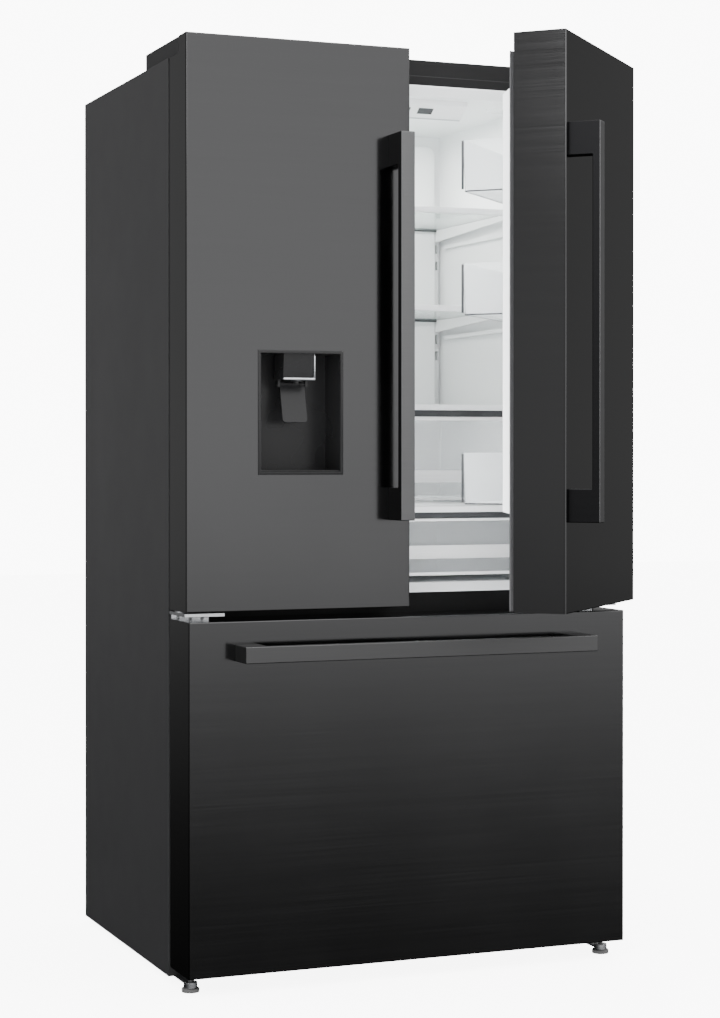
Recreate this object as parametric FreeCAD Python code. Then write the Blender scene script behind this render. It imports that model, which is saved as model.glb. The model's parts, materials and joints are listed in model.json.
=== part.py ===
import FreeCAD, Part
import math
import os

# French door refrigerator, in millimetres.
# The origin is the centre of the cabinet's underside; +Z is up, -Y is the front, +X is to the
# right of someone who stands in front of it. The floor lies foot_height below the origin.
# The left door is shut and the right door stands ajar, turned about its own hinge line.

os.makedirs("parts", exist_ok=True)
Vec = FreeCAD.Vector
UP = Vec(0, 0, 1)
BACK = Vec(0, 1, 0)
RIGHT = Vec(1, 0, 0)

# ---- cabinet -----------------------------------------------------------------------------------
cabinet_width = 908.0
cabinet_depth = 604.0
cabinet_height = 1741.5
foot_height = 14.5
sheet = 1.2                   # steel skins of the case, the doors and the drawer
base_sheet = 1.5              # base plate
back_inset = 3.0              # back panels ahead of the case's rear edge
frame_depth = 14.0            # dark frame round the two openings
liner = 2.5                   # plastic liners
running_gap = 0.3             # between faces that slide past each other
pin_play = 0.06               # radial play of a pin in its hole

# ---- openings and liners -----------------------------------------------------------------------
mouth_margin = 52.0           # opening's side to the cabinet's side, at the front
top_margin = 21.0
mullion_bottom = 646.0
mullion_top = 720.5
sill_height = 62.0
flare = 15.0                  # how far each liner draws in behind its mouth
flare_depth = 23.0
shelf_zone_wall = 102.0       # wall beside the shelves, thicker than beside the door bins
door_zone_depth = 128.0       # depth that the shut doors' bins reach into
zone_step = 35.0
fresh_back_wall = 62.0
freezer_back_wall = 67.0
machine_depth = 227.0
machine_height = 250.0
freezer_floor_depth = 292.0   # flat floor of the freezer, in front of the machine compartment
freezer_slope = 40.0
freezer_step_height = 275.0

# ---- doors and drawer front --------------------------------------------------------------------
door_bottom = 697.5
door_rise = 31.0              # top of the doors above the cabinet
door_thickness = 102.0
door_split = 8.2              # gap between the two doors
gasket_gap = 10.4             # shut door's back to the cabinet's front
lip_depth = 45.0              # door's face to the pocket for the top hinge
ledge_drop = 1.0              # door's rear top edge below the cabinet's top
edge_radius = 2.0
seam_behind = 3.0             # seam between a front skin and its sides, from the face
seam_width = 1.2
seam_depth = 0.7
door_liner = 3.0
drawer_bottom = 20.5
drawer_height = 660.0
drawer_proud = 16.7           # drawer front stands ahead of the doors
hinge_from_side = 9.5
hinge_ahead = 42.2            # hinge line ahead of the cabinet's front
right_door_ajar = 45.0        # degrees

# ---- door liner, gasket, bins ------------------------------------------------------------------
gasket_width = 18.0
gasket_inset = 3.9            # gasket's edge to the door's free edge
gasket_on_frame = 10.0        # gasket's inner edge to the opening, on the hinge side
gasket_end = 2.0              # gasket to the door's lower edge
gasket_top = 1.0              # gasket to the door's rear top edge
dike_height = 35.0            # rib round the door's inside, from the door's back
dike_free_inset = 31.9        # foot of the rib to the door's free edge
dike_mouth_inset = 6.0        # foot of the rib to the cabinet's opening
dike_top_inset = 29.0
dike_bottom = 875.5
dike_draft = 8.0              # sides lean in over the rib's height
dike_top_draft = 26.0
dike_side_rim = 14.0
dike_end_rim = 8.0
bin_bottoms = (896.5, 1255.5, 1489.5)
bin_height = 98.0
bin_reach = 122.7             # bin's outer face from the door's back
bin_wall = 2.5
bin_rib_pitch = 22.0
bin_rib = 1.5
tank_bottom = 1098.0
tank_height = 145.0
tank_reach = 116.0
tank_wall = 3.0

# ---- handles -----------------------------------------------------------------------------------
handle_length = 738.0
handle_bottom = 865.5
handle_width = 29.0
handle_from_edge = 14.9       # handle's side to the door's free edge
handle_reach = 60.0           # door's face to the bar's face
handle_bar = 15.0
handle_post = 62.0
handle_edge = 1.5
drawer_handle_length = 728.0
drawer_handle_height = 31.0
drawer_handle_bottom = 606.5
drawer_handle_post = 46.0

# ---- dispenser in the left door ----------------------------------------------------------------
recess_centre = 228.0         # from the middle of the refrigerator
recess_width = 161.4
recess_height = 225.0
recess_bottom = 957.5
recess_depth = 80.0
recess_wall = 2.5
recess_play = 0.1
outlet_width = 62.0
outlet_height = 50.0
outlet_depth = 52.0
outlet_setback = 8.0
outlet_taper = 4.0
spout_radius = 6.0
spout_length = 7.0
paddle_width = 50.0
paddle_length = 76.0
paddle_thickness = 4.0
paddle_lean = 14.0            # degrees
paddle_barrel = 4.0
paddle_pin = 2.0
paddle_pin_length = 4.0
pivot_below_outlet = 7.0
pivot_setback = 50.0
lug_thickness = 5.0
lug_depth = 12.0
drip_tray_height = 4.0
drip_slot = 4.0
drip_pitch = 10.0

# ---- mullion flap ------------------------------------------------------------------------------
flap_half_width = 26.0
flap_thickness = 22.6
flap_setback = 1.0            # flap's face behind the cabinet's front
flap_end_gap = 3.0
flap_pivot_x = -22.0
flap_pivot_setback = 6.6
flap_pin = 2.5
flap_chamfer = 3.0
knuckle_height = 25.0
knuckle_width = 12.0
knuckle_heights = (920.0, 1640.0)

# ---- fresh food compartment --------------------------------------------------------------------
shelf_tops = (1297.5, 1499.5)
shelf_trim_height = 11.0
shelf_trim_depth = 6.0
shelf_lip = 14.0
shelf_glass = 5.0
shelf_front_gap = 130.0       # shelf's front edge behind the cabinet's front
shelf_side_gap = 3.0
shelf_split = 4.0
bracket_thickness = 3.0
bracket_height = 26.0
track_width = 8.0
track_centre_width = 18.0
track_depth = 12.0
track_bottom = 1120.0
track_top = 1520.0
track_slot_pitch = 37.0
track_slot_height = 20.0
track_slot_width = 6.0
hook_length = 5.0
duct_depth = 12.0
duct_side_gap = 18.0          # duct panel's side to the compartment's side
duct_top_gap = 23.5
duct_corner = 20.0
duct_vent_width = 90.0
duct_vent_height = 6.0
duct_vent_heights = (1180.0, 1380.0, 1580.0)
wall_rib = 6.0
wall_rib_height = 8.0
wall_rib_drop = 40.0
ledge_width = 14.0
ledge_height = 10.0
ledge_front_gap = 172.0
ledge_back_gap = 40.0
control_half_width = 196.0
control_points = ((58.0, 0.0), (58.0, 9.0), (90.0, 32.0), (96.0, 31.0), (242.0, 0.0))
light_half_width = 150.0
light_depth = 60.0
light_thickness = 6.0
light_gap = 262.0

# ---- crispers and pantry drawer ----------------------------------------------------------------
crisper_cover_top = 1093.5
partition_thickness = 6.0
crisper_bottom = 898.0
crisper_height = 169.0
crisper_front_gap = 133.0
crisper_side_gap = 6.0
crisper_centre_gap = 8.0
crisper_back_gap = 25.0
crisper_wall = 2.5
crisper_front = 4.0
runner_width = 12.0
base_shelf_top = 886.5
base_shelf_thickness = 11.5
base_shelf_front_gap = 38.0
pantry_bottom = 748.0
pantry_height = 114.0
pantry_front_gap = 43.0
pantry_front = 6.0
pantry_side_gap = 6.0

# ---- freezer -----------------------------------------------------------------------------------
rail_height = 30.0
rail_bottom = 335.0
rail_thickness = 3.7
rail_front_gap = 32.0
rail_length = 440.0
basket_wall = 3.0
basket_side_gap = 37.0
basket_rim = 4.0
lower_basket_bottom = 95.0
lower_basket_top = 350.0
lower_basket_depth = 272.0
upper_basket_bottom = 430.0
upper_basket_height = 130.0
upper_basket_depth = 450.0
basket_front_gap = 8.0
freezer_ledge_width = 22.0
freezer_ledge_height = 6.0
drawer_gasket_top = 668.0
drawer_gasket_bottom = 40.0
evaporator_cover_gap = 54.0   # cover's front to the freezer's back wall
evaporator_cover_sheet = 3.0
evaporator_half_width = 250.0
evaporator_depth = 40.0
evaporator_bottom = 300.0
evaporator_height = 180.0
fin_count = 24
fin_thickness = 1.2
tube_radius = 4.0
tube_rows = 4
evaporator_fan_height = 560.0
evaporator_fan_radius = 46.0

# ---- machine compartment -----------------------------------------------------------------------
compressor_from_side = 164.0
compressor_radius = 78.0
compressor_height = 150.0
compressor_foot_height = 16.0
compressor_dome = 30.0
condenser_left = -110.0
condenser_width = 130.0
condenser_depth = 150.0
condenser_height = 130.0
condenser_fins = 14
condenser_fan_x = 112.0
condenser_fan_radius = 62.0
condenser_fan_height = 90.0
shroud_half = 75.0
shroud_thickness = 8.0
fan_hub_radius = 16.0
fan_hub_length = 18.0
fan_blades = 5
fan_blade_thickness = 2.0
fan_blade_twist = 30.0
fan_shaft = 3.0
motor_radius = 22.0
motor_length = 30.0
motor_strut = 8.0
machine_middle_y = 190.0
drain_pan_gap = 8.0           # to the fan shroud
drain_pan_from_side = 74.0
drain_pan_depth = 160.0
drain_pan_height = 45.0
drain_pan_wall = 2.0
vent_rows = 9
vent_pitch = 20.0
vent_height = 8.0
vent_half_width = 380.0
gland_x = 330.0
gland_height = 60.0
gland_radius = 11.0
gland_hole = 4.5
gland_length = 14.0

# ---- feet, rollers, hinges, top cover ----------------------------------------------------------
foot_from_side = 21.0
foot_ahead = 70.4
foot_radius = 16.5
foot_disc = 8.0
foot_stem = 4.0
foot_stem_top = 14.0
leg_width = 26.0
leg_strap = 3.0
leg_boss = 13.0
leg_boss_top = 4.0
leg_behind = 60.0
roller_from_side = 39.0
roller_y = 250.0
roller_radius = 17.0
roller_width = 22.0
roller_axle = 4.0
roller_slot_gap = 2.0
ear_thickness = 2.0
ear_height = 18.0
ear_half_depth = 10.0
pin_radius = 6.0
top_pin_length = 25.0
bottom_pin_length = 21.0
hinge_pocket_play = 2.0
top_plate = 5.0
top_plate_reach = 16.0
top_plate_width = 96.0
top_plate_depth = 132.0
hinge_side_gap = 5.0
centre_plate = 6.0
centre_plate_gap = 3.0
centre_plate_width = 78.0
centre_plate_front_gap = 14.0
centre_flange = 3.0
centre_flange_height = 22.0
collar_radius = 10.0
cover_wall = 2.0
cover_bar_depth = 40.0
cover_end_width = 122.0
cover_end_depth = 153.0
cover_side_gap = 2.0
cover_nose = 22.0

# ---- planes that follow from the sizes above -----------------------------------------------------
half_width = cabinet_width / 2
inside_case = half_width - sheet
front = -cabinet_depth / 2
back = cabinet_depth / 2
inside_back = back - back_inset - sheet
back_face = back - back_inset
inside_top = cabinet_height - sheet
floor_z = -foot_height
mouth_x = half_width - mouth_margin
throat_x = mouth_x - flare
throat_y = front + flare_depth
shelf_x = half_width - shelf_zone_wall
fresh_floor = mullion_top + flare
fresh_ceiling = cabinet_height - top_margin - flare
fresh_back = back - fresh_back_wall
freezer_floor = sill_height + flare
freezer_ceiling = mullion_bottom - flare
freezer_back = back - freezer_back_wall
machine_front = back - machine_depth
door_back = front - gasket_gap
door_front = door_back - door_thickness
door_top = cabinet_height + door_rise
door_ledge = cabinet_height - ledge_drop
lip_back = door_front + lip_depth
free_edge = door_split / 2
drawer_front = door_front - drawer_proud
drawer_top = drawer_bottom + drawer_height
hinge_x = half_width - hinge_from_side
hinge_y = front - hinge_ahead
dike_crest = door_back + dike_height
shelf_front = front + shelf_front_gap
shelf_back = fresh_back - duct_depth - 2.0
crisper_front_y = front + crisper_front_gap
cover_underside = crisper_cover_top - shelf_trim_height
outlet_bottom = recess_bottom + recess_height - outlet_height
pivot_z = outlet_bottom - pivot_below_outlet
pivot_y = door_front + pivot_setback
flap_front = front + flap_setback
flap_pivot_y = flap_front + flap_pivot_setback - flap_setback
foot_y = front - foot_ahead
foot_x = half_width - foot_from_side
roller_x = half_width - roller_from_side
compressor_x = -half_width + compressor_from_side


# ---- helpers -------------------------------------------------------------------------------------
def box(x, y, z):
    """Box between the (low, high) pairs x, y and z."""
    return Part.makeBox(x[1] - x[0], y[1] - y[0], z[1] - z[0], Vec(x[0], y[0], z[0]))


def round_bar(radius, start, direction, length):
    return Part.makeCylinder(radius, length, start, direction)


def prism(points, direction):
    """Closed outline of 3D points, pushed along a direction."""
    outline = Part.makePolygon(points + [points[0]])
    return Part.Face(outline).extrude(direction)


def side_prism(points_yz, x):
    """Outline in the YZ plane, pushed from x[0] to x[1]."""
    return prism([Vec(x[0], y, z) for y, z in points_yz], Vec(x[1] - x[0], 0, 0))


def plan_prism(points_xy, z):
    """Outline in the XY plane, pushed from z[0] to z[1]."""
    return prism([Vec(x, y, z[0]) for x, y in points_xy], Vec(0, 0, z[1] - z[0]))


def rectangle_at(y, x, z):
    corners = [Vec(x[0], y, z[0]), Vec(x[1], y, z[0]), Vec(x[1], y, z[1]), Vec(x[0], y, z[1])]
    return Part.makePolygon(corners + [corners[0]])


def funnel(y, x_near, z_near, x_far, z_far):
    """Solid between a rectangle at y[0] and another at y[1]."""
    near = rectangle_at(y[0], x_near, z_near)
    far = rectangle_at(y[1], x_far, z_far)
    return Part.makeLoft([near, far], True, True)


def joined(shapes):
    return shapes[0].multiFuse(shapes[1:]).removeSplitter()


def cut(shape, tools):
    return shape.cut(Part.makeCompound(tools)).removeSplitter()


def flipped(shape):
    """The same piece on the other side of the refrigerator."""
    return shape.mirror(Vec(0, 0, 0), RIGHT)


def both_sides(shape):
    return Part.makeCompound([shape, flipped(shape)])


def ajar(shape):
    """A right-door piece, turned about the hinge line to where the door stands."""
    turned = shape.copy()
    turned.rotate(Vec(hinge_x, hinge_y, 0), UP, right_door_ajar)
    return turned


def symmetric(half):
    return (-half, half)


def rounded(shape, radius, wanted):
    """Fillet the edges for which wanted(edge) holds."""
    return shape.makeFillet(radius, [edge for edge in shape.Edges if wanted(edge)])


def on_plane_y(y):
    return lambda edge: all(abs(vertex.Y - y) < 0.01 for vertex in edge.Vertexes)


def open_box(x, y, z, wall, front_wall=None):
    """Box with no lid; the front wall may be thicker than the rest."""
    near = wall if front_wall is None else front_wall
    inside = box((x[0] + wall, x[1] - wall), (y[0] + near, y[1] - wall), (z[0] + wall, z[1] + wall))
    return box(x, y, z).cut(inside)


# ---- cabinet -------------------------------------------------------------------------------------
def fresh_cavity(grown):
    """Space inside the fresh food liner, grown outwards on all sides but the mouth."""
    mouth_z = (mullion_top - grown, cabinet_height - top_margin + grown)
    throat_z = (fresh_floor - grown, fresh_ceiling + grown)
    mouth = funnel((front, throat_y), symmetric(mouth_x + grown), mouth_z,
                   symmetric(throat_x + grown), throat_z)
    step = front + door_zone_depth
    right_side = [(throat_x + grown, throat_y), (throat_x + grown, step),
                  (shelf_x + grown, step + zone_step), (shelf_x + grown, fresh_back + grown)]
    left_side = [(-x, y) for x, y in reversed(right_side)]
    return joined([mouth, plan_prism(right_side + left_side, throat_z)])


def freezer_cavity(grown):
    mouth_z = (sill_height - grown, mullion_bottom + grown)
    throat_z = (freezer_floor - grown, freezer_ceiling + grown)
    mouth = funnel((front, throat_y), symmetric(mouth_x + grown), mouth_z,
                   symmetric(throat_x + grown), throat_z)
    floor_end = front + freezer_floor_depth + grown
    profile = [(throat_y, throat_z[0]), (floor_end, throat_z[0]),
               (floor_end + freezer_slope, freezer_step_height - grown),
               (freezer_back + grown, freezer_step_height - grown),
               (freezer_back + grown, throat_z[1]), (throat_y, throat_z[1])]
    return joined([mouth, side_prism(profile, symmetric(throat_x + grown))])


def side_ledge(top, width, height, wall_x):
    """Ledge on both side walls that something rests on."""
    y = (front + ledge_front_gap, fresh_back - ledge_back_gap)
    right = box((wall_x - width, wall_x + liner / 2), y, (top - height, top))
    return [right, flipped(right)]


def make_fresh_food_liner():
    shell = fresh_cavity(liner).cut(fresh_cavity(0))
    pieces = [shell]
    pieces += side_ledge(cover_underside, ledge_width, ledge_height, shelf_x)
    pieces += side_ledge(base_shelf_top - base_shelf_thickness, ledge_width, ledge_height, shelf_x)
    for top in shelf_tops:
        pieces += side_ledge(top - wall_rib_drop, wall_rib, wall_rib_height, shelf_x)
    return joined(pieces)


def make_freezer_liner():
    shell = freezer_cavity(liner).cut(freezer_cavity(0))
    ledge = box((throat_x - freezer_ledge_width, throat_x + liner / 2),
                (throat_y, throat_y + upper_basket_depth),
                (upper_basket_bottom - running_gap - freezer_ledge_height,
                 upper_basket_bottom - running_gap))
    return joined([shell, ledge, flipped(ledge)])


def make_outer_case():
    outer = box(symmetric(half_width), (front, back), (0, cabinet_height))
    inside = box(symmetric(inside_case), (front, back), (0, inside_top))
    return outer.cut(inside)


def make_front_frame():
    slab = box(symmetric(inside_case), (front, front + frame_depth), (0, inside_top))
    return cut(slab, [fresh_cavity(liner), freezer_cavity(liner)])


def make_back_panel():
    return box(symmetric(inside_case), (inside_back, back_face), (machine_height, inside_top))


def machine_space(grown):
    return box(symmetric(inside_case), (machine_front - grown, inside_back),
               (0, machine_height + grown))


def make_cabinet_foam():
    block = box(symmetric(inside_case), (front + frame_depth, inside_back),
                (base_sheet, inside_top))
    return cut(block, [fresh_cavity(liner), freezer_cavity(liner), machine_space(base_sheet)])


def roller_ear(offset):
    """Plate beside a roller that carries its axle."""
    low = roller_x + offset
    ear = box((low, low + ear_thickness), (roller_y - ear_half_depth, roller_y + ear_half_depth),
              (0, ear_height))
    return ear


def make_base_plate():
    plate = box(symmetric(inside_case), (front + frame_depth, inside_back), (0, base_sheet))
    step_wall = box(symmetric(inside_case), (machine_front - base_sheet, machine_front),
                    (0, machine_height))
    step_top = box(symmetric(inside_case), (machine_front - base_sheet, inside_back),
                   (machine_height, machine_height + base_sheet))
    slot_half = roller_width / 2 + roller_slot_gap
    slot = box((roller_x - slot_half, roller_x + slot_half),
               (roller_y - roller_radius - roller_slot_gap, roller_y + roller_radius + roller_slot_gap),
               (-base_sheet, base_sheet))
    bent = cut(joined([plate, step_wall, step_top]), [slot, flipped(slot)])
    ears = [roller_ear(slot_half), roller_ear(-slot_half - ear_thickness)]
    ears += [flipped(ear) for ear in ears]
    axle_z = floor_z + roller_radius
    axle_half = slot_half + ear_thickness
    axle = round_bar(roller_axle, Vec(roller_x - axle_half, roller_y, axle_z), RIGHT, 2 * axle_half)
    return Part.makeCompound([joined([bent] + ears).cut(both_sides(axle)), axle, flipped(axle)])


def make_roller():
    axle_z = floor_z + roller_radius
    start = Vec(roller_x - roller_width / 2, roller_y, axle_z)
    wheel = round_bar(roller_radius, start, RIGHT, roller_width)
    bore = round_bar(roller_axle + pin_play, start, RIGHT, roller_width)
    tread = rounded(wheel, edge_radius, lambda edge: len(edge.Vertexes) == 1)
    return tread.cut(bore)


def make_machine_cover():
    plate = box(symmetric(inside_case), (inside_back, back_face), (base_sheet, machine_height))
    slots = []
    for row in range(vent_rows):
        z = machine_height - vent_pitch * (row + 1)
        slots.append(box((-vent_half_width, -running_gap - vent_pitch), (inside_back, back_face),
                         (z, z + vent_height)))
        slots.append(box((running_gap + vent_pitch, gland_x - gland_radius * 2),
                         (inside_back, back_face), (z, z + vent_height)))
    centre = Vec(gland_x, inside_back, gland_height)
    seat = round_bar(gland_radius - gland_hole / 2, centre, BACK, sheet)
    plate = cut(plate, slots + [seat])
    inner = Vec(gland_x, back - gland_length, gland_height)
    gland = joined([round_bar(gland_radius, inner, BACK, gland_length - back_inset - sheet),
                    round_bar(gland_radius - gland_hole / 2, inner, BACK, gland_length)])
    gland = gland.cut(round_bar(gland_hole, inner, BACK, gland_length))
    return Part.makeCompound([plate, gland])


# ---- feet and legs -------------------------------------------------------------------------------
def make_foot(side):
    base = Vec(side * foot_x, foot_y, floor_z)
    disc = rounded(round_bar(foot_radius, base, UP, foot_disc), edge_radius,
                   lambda edge: edge.BoundBox.ZMin > floor_z + foot_disc / 2 and len(edge.Vertexes) == 1)
    stem = round_bar(foot_stem, base, UP, foot_stem_top - floor_z)
    return joined([disc, stem])


def make_leg_brackets():
    boss_bottom = floor_z + foot_disc + running_gap
    centre = Vec(foot_x, foot_y, boss_bottom)
    boss = round_bar(leg_boss, centre, UP, leg_boss_top - boss_bottom)
    strap = box((foot_x - leg_width / 2, foot_x + leg_width / 2 - edge_radius * 3),
                (foot_y, front + leg_behind), (-leg_strap, 0))
    hole = round_bar(foot_stem + pin_play, centre, UP, leg_boss_top - boss_bottom)
    leg = joined([boss, strap]).cut(hole)
    return both_sides(leg)


# ---- hinges and top cover ------------------------------------------------------------------------
def make_door_hinges():
    side_limit = half_width - hinge_side_gap
    plate_z = (cabinet_height, cabinet_height + top_plate)
    seat = box((side_limit - top_plate_width, side_limit), (front, front + top_plate_depth), plate_z)
    arm = box((hinge_x - top_plate_reach, side_limit), (hinge_y, front), plate_z)
    nose = round_bar(top_plate_reach, Vec(hinge_x, hinge_y, cabinet_height), UP, top_plate)
    trimmed = joined([seat, arm, nose]).common(
        box((0, side_limit), (door_front, back), plate_z))
    pin = round_bar(pin_radius, Vec(hinge_x, hinge_y, cabinet_height - top_pin_length), UP,
                    top_pin_length + top_plate)
    top_hinge = joined([trimmed, pin.common(box((0, half_width), (front - door_thickness, front),
                                                (0, cabinet_height + top_plate)))])
    plate_top = door_bottom - centre_plate_gap
    shelf = box((half_width - sheet - centre_plate_width, half_width - sheet),
                (door_front + centre_plate_front_gap, front),
                (plate_top - centre_plate, plate_top))
    flange = box((half_width - sheet - centre_plate_width, half_width - hinge_side_gap),
                 (front - centre_flange, front), (plate_top - centre_flange_height, plate_top))
    collar = round_bar(collar_radius, Vec(hinge_x, hinge_y, plate_top), UP,
                       centre_plate_gap - running_gap)
    collar = collar.common(box((0, half_width - sheet), (front - door_thickness, front),
                               (0, door_bottom)))
    centre_pin = round_bar(pin_radius, Vec(hinge_x, hinge_y, plate_top), UP, bottom_pin_length)
    centre_hinge = joined([shelf, flange, collar, centre_pin])
    return Part.makeCompound([top_hinge, flipped(top_hinge), centre_hinge, flipped(centre_hinge)])


def top_cover_block(inset):
    """The top cover's outside, or its hollow when inset is its wall."""
    side = half_width - cover_side_gap - inset
    z = (cabinet_height, door_top - inset)
    bar = box(symmetric(side), (front + inset, front + cover_bar_depth - inset), z)
    end = box((side + inset - cover_end_width + inset, side),
              (front + inset, front + cover_end_depth - inset), z)
    arm = box((hinge_x - cover_nose + inset, side), (hinge_y, front + cover_bar_depth / 2), z)
    nose = round_bar(cover_nose - inset, Vec(hinge_x, hinge_y, z[0]), UP, z[1] - z[0])
    nose = nose.common(box((0, side), (door_front, front), z))
    return joined([bar, end, flipped(end), arm, flipped(arm), nose, flipped(nose)])


def make_top_cover():
    return cut(top_cover_block(0), [top_cover_block(cover_wall), make_door_hinges()])


# ---- doors, built on the right and flipped for the left --------------------------------------------
def door_block(inset, depth_end):
    """Door's outline, inset from the skin's outside and ending at depth_end."""
    block = box((free_edge + inset, half_width - inset), (door_front + inset, depth_end),
                (door_bottom + inset, door_top - inset))
    return block.cut(hinge_pocket(inset))


def hinge_pocket(grown):
    """Room for the top hinge and its cover, open to the side, the back and the top."""
    low = hinge_x - cover_nose - hinge_pocket_play
    return box((low - grown, half_width), (lip_back - grown, front), (door_ledge - grown, door_top))


def pin_hole(play, bottom_depth):
    """Both ends of the hinge line, as cutting tools."""
    radius = pin_radius + play
    low = round_bar(radius, Vec(hinge_x, hinge_y, door_bottom), UP, bottom_depth)
    high = round_bar(radius, Vec(hinge_x, hinge_y, door_ledge - top_pin_length), UP, top_pin_length)
    return [low, high]


def recess_block(grown, depth):
    half = recess_width / 2 + grown
    return box((recess_centre - half, recess_centre + half), (door_front, door_front + depth),
               (recess_bottom - grown, recess_bottom + recess_height + grown))


def seam(x, face, z):
    """Shallow groove round the sides of a front, just behind its face."""
    y = (face + seam_behind, face + seam_behind + seam_width)
    outer = box((x[0] - sheet, x[1] + sheet), y, (z[0] - sheet, z[1] + sheet))
    return outer.cut(box((x[0] + seam_depth, x[1] - seam_depth), y, (z[0] + seam_depth, z[1] - seam_depth)))


def make_door_panel(tools):
    outer = rounded(door_block(0, door_back), edge_radius, on_plane_y(door_front))
    inside = door_block(sheet, door_back)
    groove = seam((free_edge, half_width), door_front, (door_bottom, door_top))
    return cut(outer, [inside, groove] + pin_hole(pin_play, bottom_pin_length) + tools)


def make_door_foam(tools):
    core = door_block(sheet, door_back - door_liner)
    return cut(core, pin_hole(hinge_pocket_play, bottom_pin_length) + tools)


def door_liner_pieces():
    """Plate behind the foam, then the rib's free, hinge, lower and upper sides."""
    whole = door_block(sheet, door_back)
    plate = whole.common(box((free_edge, half_width), (door_back - door_liner, door_back),
                             (door_bottom, door_top)))
    foot_x_range = (free_edge + dike_free_inset, mouth_x - dike_mouth_inset)
    foot_z_range = (dike_bottom, cabinet_height - top_margin - dike_top_inset)
    crest_x = (foot_x_range[0] + dike_draft, foot_x_range[1] - dike_draft - dike_side_rim / 4)
    crest_z = (foot_z_range[0] + dike_draft, foot_z_range[1] - dike_top_draft)
    rib = funnel((door_back, dike_crest), foot_x_range, foot_z_range, crest_x, crest_z)
    x = (crest_x[0] + dike_side_rim, crest_x[1] - dike_side_rim)
    y = (door_back, dike_crest)
    z = (crest_z[0] + dike_end_rim, crest_z[1] - dike_end_rim)
    spans = [((foot_x_range[0], x[0]), foot_z_range), ((x[1], foot_x_range[1]), foot_z_range),
             (x, (foot_z_range[0], z[0])), (x, (z[1], foot_z_range[1]))]
    sides = [rib.common(box(span_x, y, span_z)) for span_x, span_z in spans]
    return [cut(plate, pin_hole(hinge_pocket_play, bottom_pin_length))] + sides


def make_door_liner():
    return Part.makeCompound(door_liner_pieces())


def bin_span():
    """Width between the door ribs that a bin or the tank fits in."""
    low = free_edge + dike_free_inset + dike_draft + dike_side_rim + running_gap
    high = mouth_x - dike_mouth_inset - dike_draft - dike_side_rim * 5 / 4 - running_gap
    return (low, high)


def make_door_gasket():
    low = door_bottom + gasket_end
    high = door_ledge - gasket_top
    outer_x = mouth_x + gasket_on_frame + gasket_width
    y = (door_back, front - running_gap)
    outer = box((free_edge + gasket_inset, outer_x), y, (low, high))
    inner = box((free_edge + gasket_inset + gasket_width, outer_x - gasket_width), y,
                (low + gasket_width, high - gasket_width))
    return outer.cut(inner)


def make_bin(bottom):
    span = bin_span()
    y = (door_back + running_gap, door_back + bin_reach)
    tray = open_box(span, y, (bottom, bottom + bin_height), bin_wall)
    count = int((span[1] - span[0] - 2 * bin_wall) / bin_rib_pitch)
    ribs = []
    for index in range(1, count + 1):
        x = span[0] + bin_wall + index * bin_rib_pitch
        ribs.append(box((x, x + bin_rib), (y[0] + bin_wall, y[1] - bin_wall),
                        (bottom + bin_wall, bottom + bin_wall + bin_rib)))
    return joined([tray] + ribs)


def make_handle(x, face, z, post):
    """Upright or level bar with a post at each end; the longer side sets which."""
    bar = box(x, (face - handle_reach, face - handle_reach + handle_bar), z)
    y = (face - handle_reach, face)
    if z[1] - z[0] > x[1] - x[0]:
        posts = [box(x, y, (z[0], z[0] + post)), box(x, y, (z[1] - post, z[1]))]
    else:
        posts = [box((x[0], x[0] + post), y, z), box((x[1] - post, x[1]), y, z)]
    whole = joined([bar] + posts)
    return rounded(whole, handle_edge, lambda edge: edge.BoundBox.YMin < face - handle_edge * 2)


def make_door_handle():
    low = free_edge + handle_from_edge
    return make_handle((low, low + handle_width), door_front,
                       (handle_bottom, handle_bottom + handle_length), handle_post)


# ---- left door's own pieces ------------------------------------------------------------------------
def make_mullion_flap():
    z = (fresh_floor + flap_end_gap, fresh_ceiling - flap_end_gap)
    y = (flap_front, flap_front + flap_thickness)
    bar = box(symmetric(flap_half_width), y, z)
    corner = [(-flap_half_width, y[0]), (-flap_half_width + flap_chamfer, y[0]),
              (-flap_half_width, y[0] + flap_chamfer)]
    tools = [plan_prism(corner, z)]
    for centre in knuckle_heights:
        tools.append(box((-flap_half_width, flap_pivot_x + knuckle_width / 2 + running_gap), y,
                         (centre - knuckle_height / 2 - running_gap,
                          centre + knuckle_height / 2 + running_gap)))
    bar = cut(bar, tools)
    rods = []
    for centre in knuckle_heights:
        rods.append(round_bar(flap_pin, Vec(flap_pivot_x, flap_pivot_y, centre - knuckle_height), UP,
                              2 * knuckle_height))
    return joined([bar] + rods)


def make_knuckles():
    """Lugs on the left door's rib that hold the flap's rods."""
    rib_side = -(free_edge + dike_free_inset + dike_draft + dike_side_rim / 2)
    lugs = []
    for centre in knuckle_heights:
        z = (centre - knuckle_height / 2, centre + knuckle_height / 2)
        arm = box((rib_side, flap_pivot_x), (flap_pivot_y - flap_pin * 3 / 2, flap_pivot_y + flap_pin * 2), z)
        eye = round_bar(flap_pin * 3 / 2, Vec(flap_pivot_x, flap_pivot_y, z[0]), UP, knuckle_height)
        lugs.append((arm, eye))
    holes = [round_bar(flap_pin + pin_play, Vec(flap_pivot_x, flap_pivot_y, centre - knuckle_height),
                       UP, 2 * knuckle_height) for centre in knuckle_heights]
    return [piece for lug in lugs for piece in lug], holes


def make_left_door_liner():
    lugs, holes = make_knuckles()
    plate, free_side, *others = [flipped(piece) for piece in door_liner_pieces()]
    lugged = cut(joined([free_side] + lugs), holes + [plate])
    return Part.makeCompound([plate, lugged] + others)


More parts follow.
